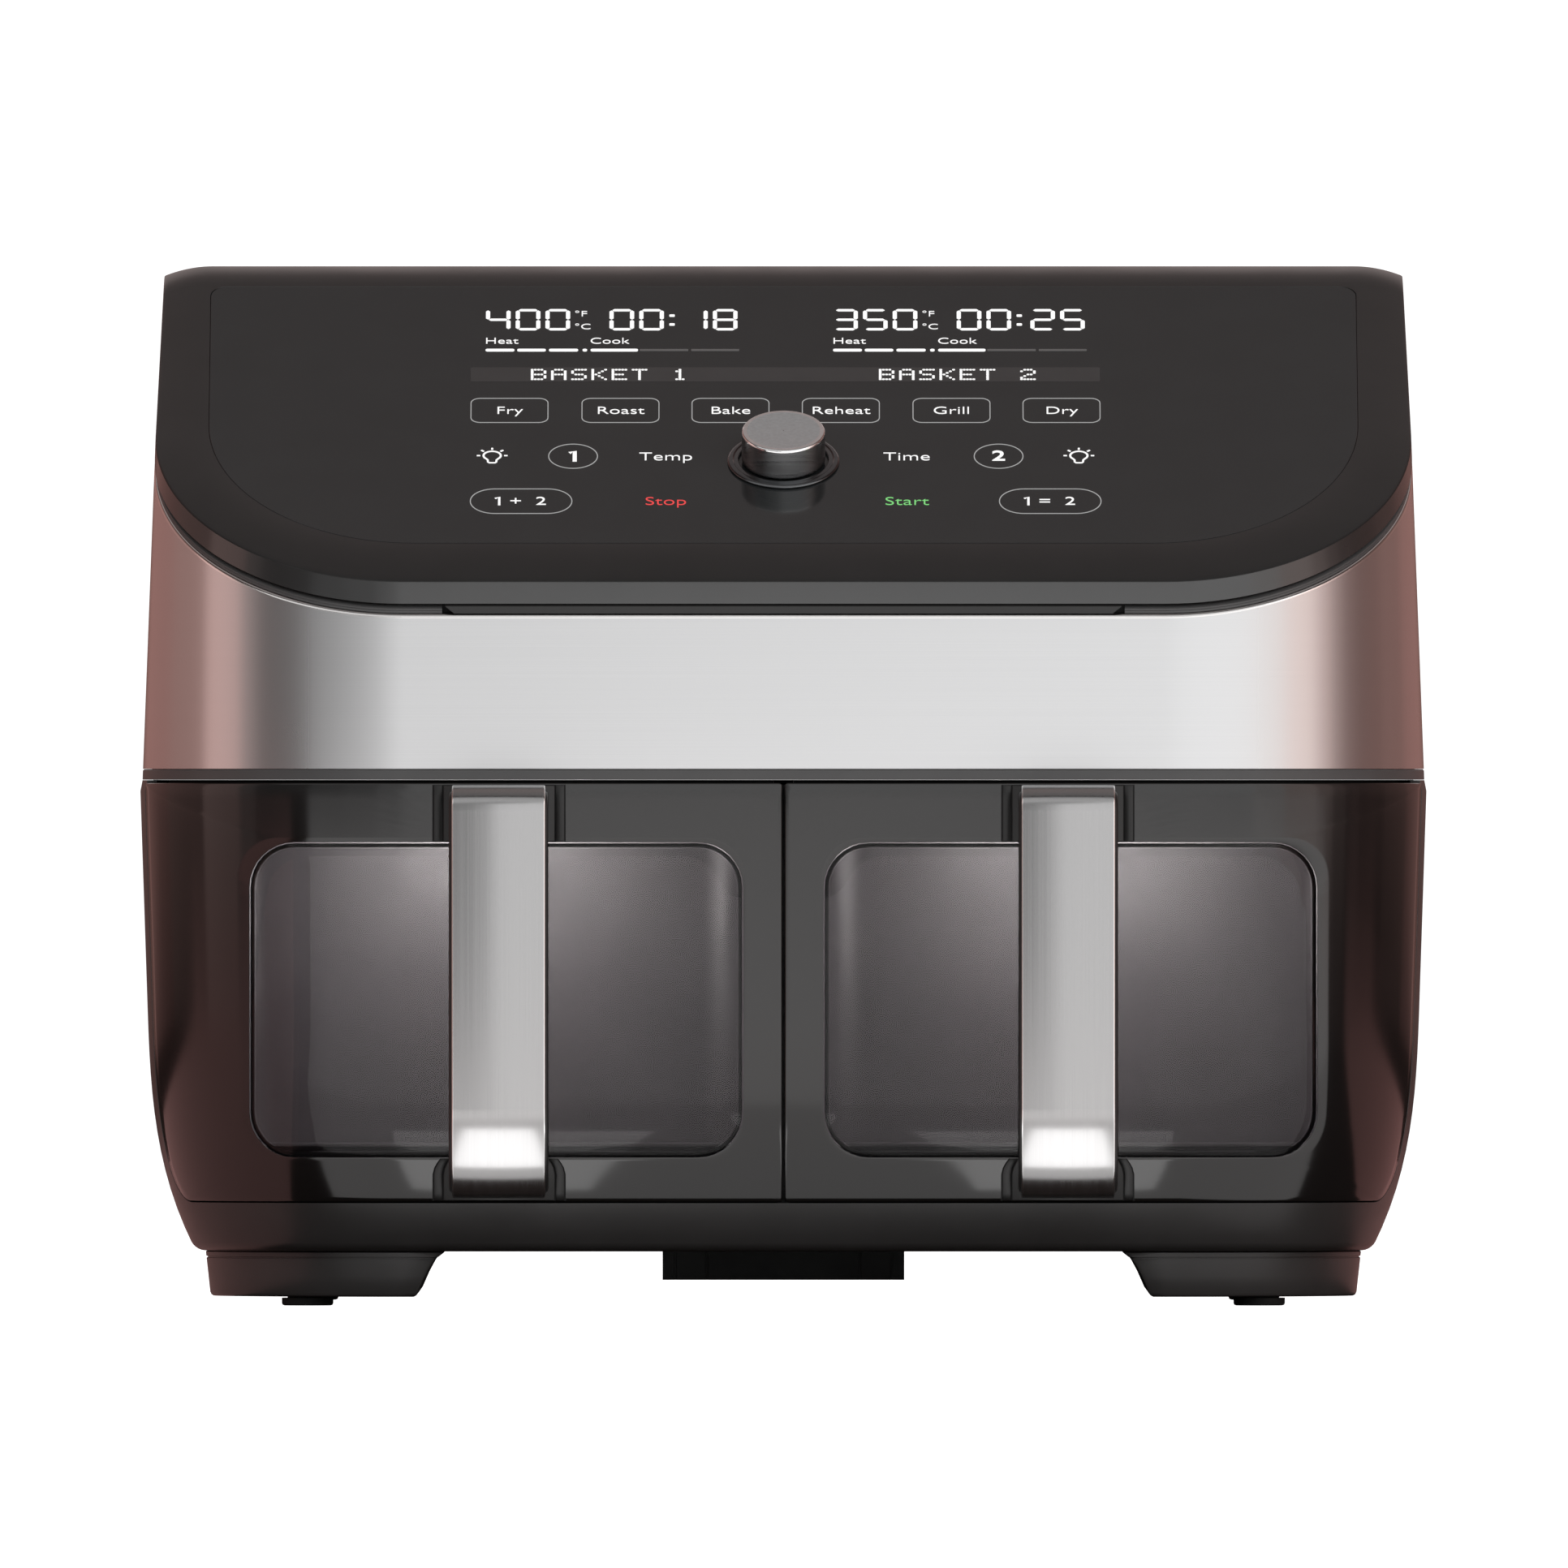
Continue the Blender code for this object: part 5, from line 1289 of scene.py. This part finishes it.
def legends():
    bright = Legend("legend_bright", "legend_white", "panel_gloss")
    frames = Legend("legend_frames", "legend_grey", "panel_gloss")
    dim = Legend("legend_dim", "legend_dim", "panel_gloss")
    red = Legend("legend_stop", "legend_red", "panel_gloss")
    green = Legend("legend_start", "legend_green", "panel_gloss")
    band = Legend("message_band", "panel_band", "panel_gloss", top=0.04)
    for shift, degrees, minutes in ((0.0, "400", "18"), (108.5, "350", "25")):
        for k, value in enumerate(degrees):
            digit(bright, value, shift - 92.3 + 9.3 * k, 83.4)
        bright.word("\u00b0F", shift - 65.4, 93.0, 4.9, "LEFT", -0.05)
        bright.word("\u00b0C", shift - 65.4, 84.9, 4.9, "LEFT", -0.05)
        for u, value in zip((-53.7, -44.4, -30.7, -21.4), "00" + minutes):
            digit(bright, value, shift + u, 83.4)
        for v in (86.4, 92.0):
            bright.shape(rounded(shift - 34.8, v, 1.7, 1.4, 0.4))
        bright.word("Heat", shift - 93.3, 75.9, 5.4, "LEFT", -0.05)
        bright.word("Cook", shift - 60.5, 75.9, 5.4, "LEFT", -0.05)
        for u0, u1 in ((-93.0, -84.0), (-83.1, -74.2), (-73.2, -64.1), (-62.7, -61.3), (-60.2, -45.4)):
            bright.shape(rounded(shift + (u0 + u1) / 2, 70.2, u1 - u0, 1.6, 0.65))
        for u0, u1 in ((-44.9, -29.7), (-28.8, -13.8)):
            dim.shape(rounded(shift + (u0 + u1) / 2, 70.2, u1 - u0, 1.3, 0.3))
    band.shape(rounded(0.6, 54.9, 196.3, 9.0, 0.5))
    dotted(bright, "BASKET 1", -78.4, 51.8)
    dotted(bright, "BASKET 2", 30.2, 51.8)
    buttons = ((-85.4, "Fry"), (-50.8, "Roast"), (-16.5, "Bake"), (17.9, "Reheat"), (52.4, "Grill"), (86.7, "Dry"))
    for u, text in buttons:
        frames.stroke(rounded(u, 32.2, 24.0, 15.2, 2.9), FRAME_LINE, closed=True)
        bright.word(text, u, 32.0, 6.6, bold=-0.07)
    for u, value in ((-65.5, "1"), (67.0, "2")):
        circle = arc(u, 3.4, 7.6, 0, 354, 59)
        frames.stroke(circle, FRAME_LINE, closed=True)
        if value == "1":
            one(bright, u + 0.5, 3.4, 6.6, 1.3)
        else:
            bright.word(value, u, 3.4, 8.8, bold=0.12)
    lamp_icon(bright, -90.7, 3.2)
    lamp_icon(bright, 92.0, 3.2)
    bright.word("Temp", -36.6, 3.0, 7.2, bold=-0.08)
    bright.word("Time", 38.4, 3.0, 7.2, bold=-0.08)
    red.word("Stop", -36.6, -25.0, 7.2, bold=-0.08)
    green.word("Start", 38.4, -25.0, 7.2, bold=-0.08)
    for u, text in ((-81.6, "+  2"), (83.0, "=  2")):
        frames.stroke(rounded(u, -24.8, 31.6, 15.4, 7.6, 10), FRAME_LINE, closed=True)
        one(bright, u - 6.8, -24.7, 5.2, 0.75)
        bright.word(text, u + 2.1, -24.9, 7.2, bold=-0.04)
    for legend in (bright, frames, dim, red, green, band):
        legend.finish()


NODE_LOOKS = {
    "base_tub": "dark_plastic", "lid_shell": "lid_dark", "foot_rail": "dark_plastic", "drawer_front": "gloss_dark",
    "deck_plate": "grey_plastic", "lid_trim": "lip_grey", "dial_bezel": "black_plastic", "dial": "grey_plastic",
    "rear_spacer": "black_plastic", "rear_cover": "black_plastic", "lid_gasket": "gap_black",
    "encoder": "black_plastic", "cord_gland": "black_plastic", "drawer_frame": "black_plastic",
    "handle_core": "black_plastic", "drawer_switch": "black_plastic", "switch_plunger": "black_plastic",
    "touch_panel": "panel", "steel_band": "steel", "handle_strap": "strap_steel", "chamber": "sheet_metal",
    "air_hood": "sheet_metal", "heating_element": "element", "element_guard": "sheet_metal",
    "fan_rotor": "sheet_metal", "motor": "sheet_metal", "basket": "coated", "crisper_tray": "coated",
    "window_glass": "glass", "inner_glass": "glass", "foot": "rubber", "window_seal": "silicone",
    "control_board": "board", "power_board": "board", "chamber_lamp": "lamp_glow",
}


def dress_nodes():
    """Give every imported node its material."""
    for name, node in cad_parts.items():
        plain = name.replace("left_", "").replace("right_", "")
        plain = plain.replace("front_foot", "foot").replace("rear_foot", "foot")
        node.data.materials.clear()
        node.data.materials.append(looks[NODE_LOOKS[plain]])


def build_detail():
    """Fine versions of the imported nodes, each riding on its body."""
    base_tub()
    foot_rails()
    rubber_feet()
    rear_spacer()
    deck_plate()
    steel_band()
    rear_cover()
    lid_gasket()
    lid_trim()
    lid_shell()
    touch_panel()
    dial_and_bezel()
    cord_gland()
    chambers()
    heating_elements()
    element_guards()
    chamber_lamps()
    switch_plungers()
    drawer_fronts()
    top_seals()
    handles()
    handle_mounts()
    baskets()
    trays()
    legends()


bpy.context.scene.view_settings.view_transform = "Standard"
make_camera()
make_lights()
make_world()
make_floor()
dress_nodes()
build_detail()
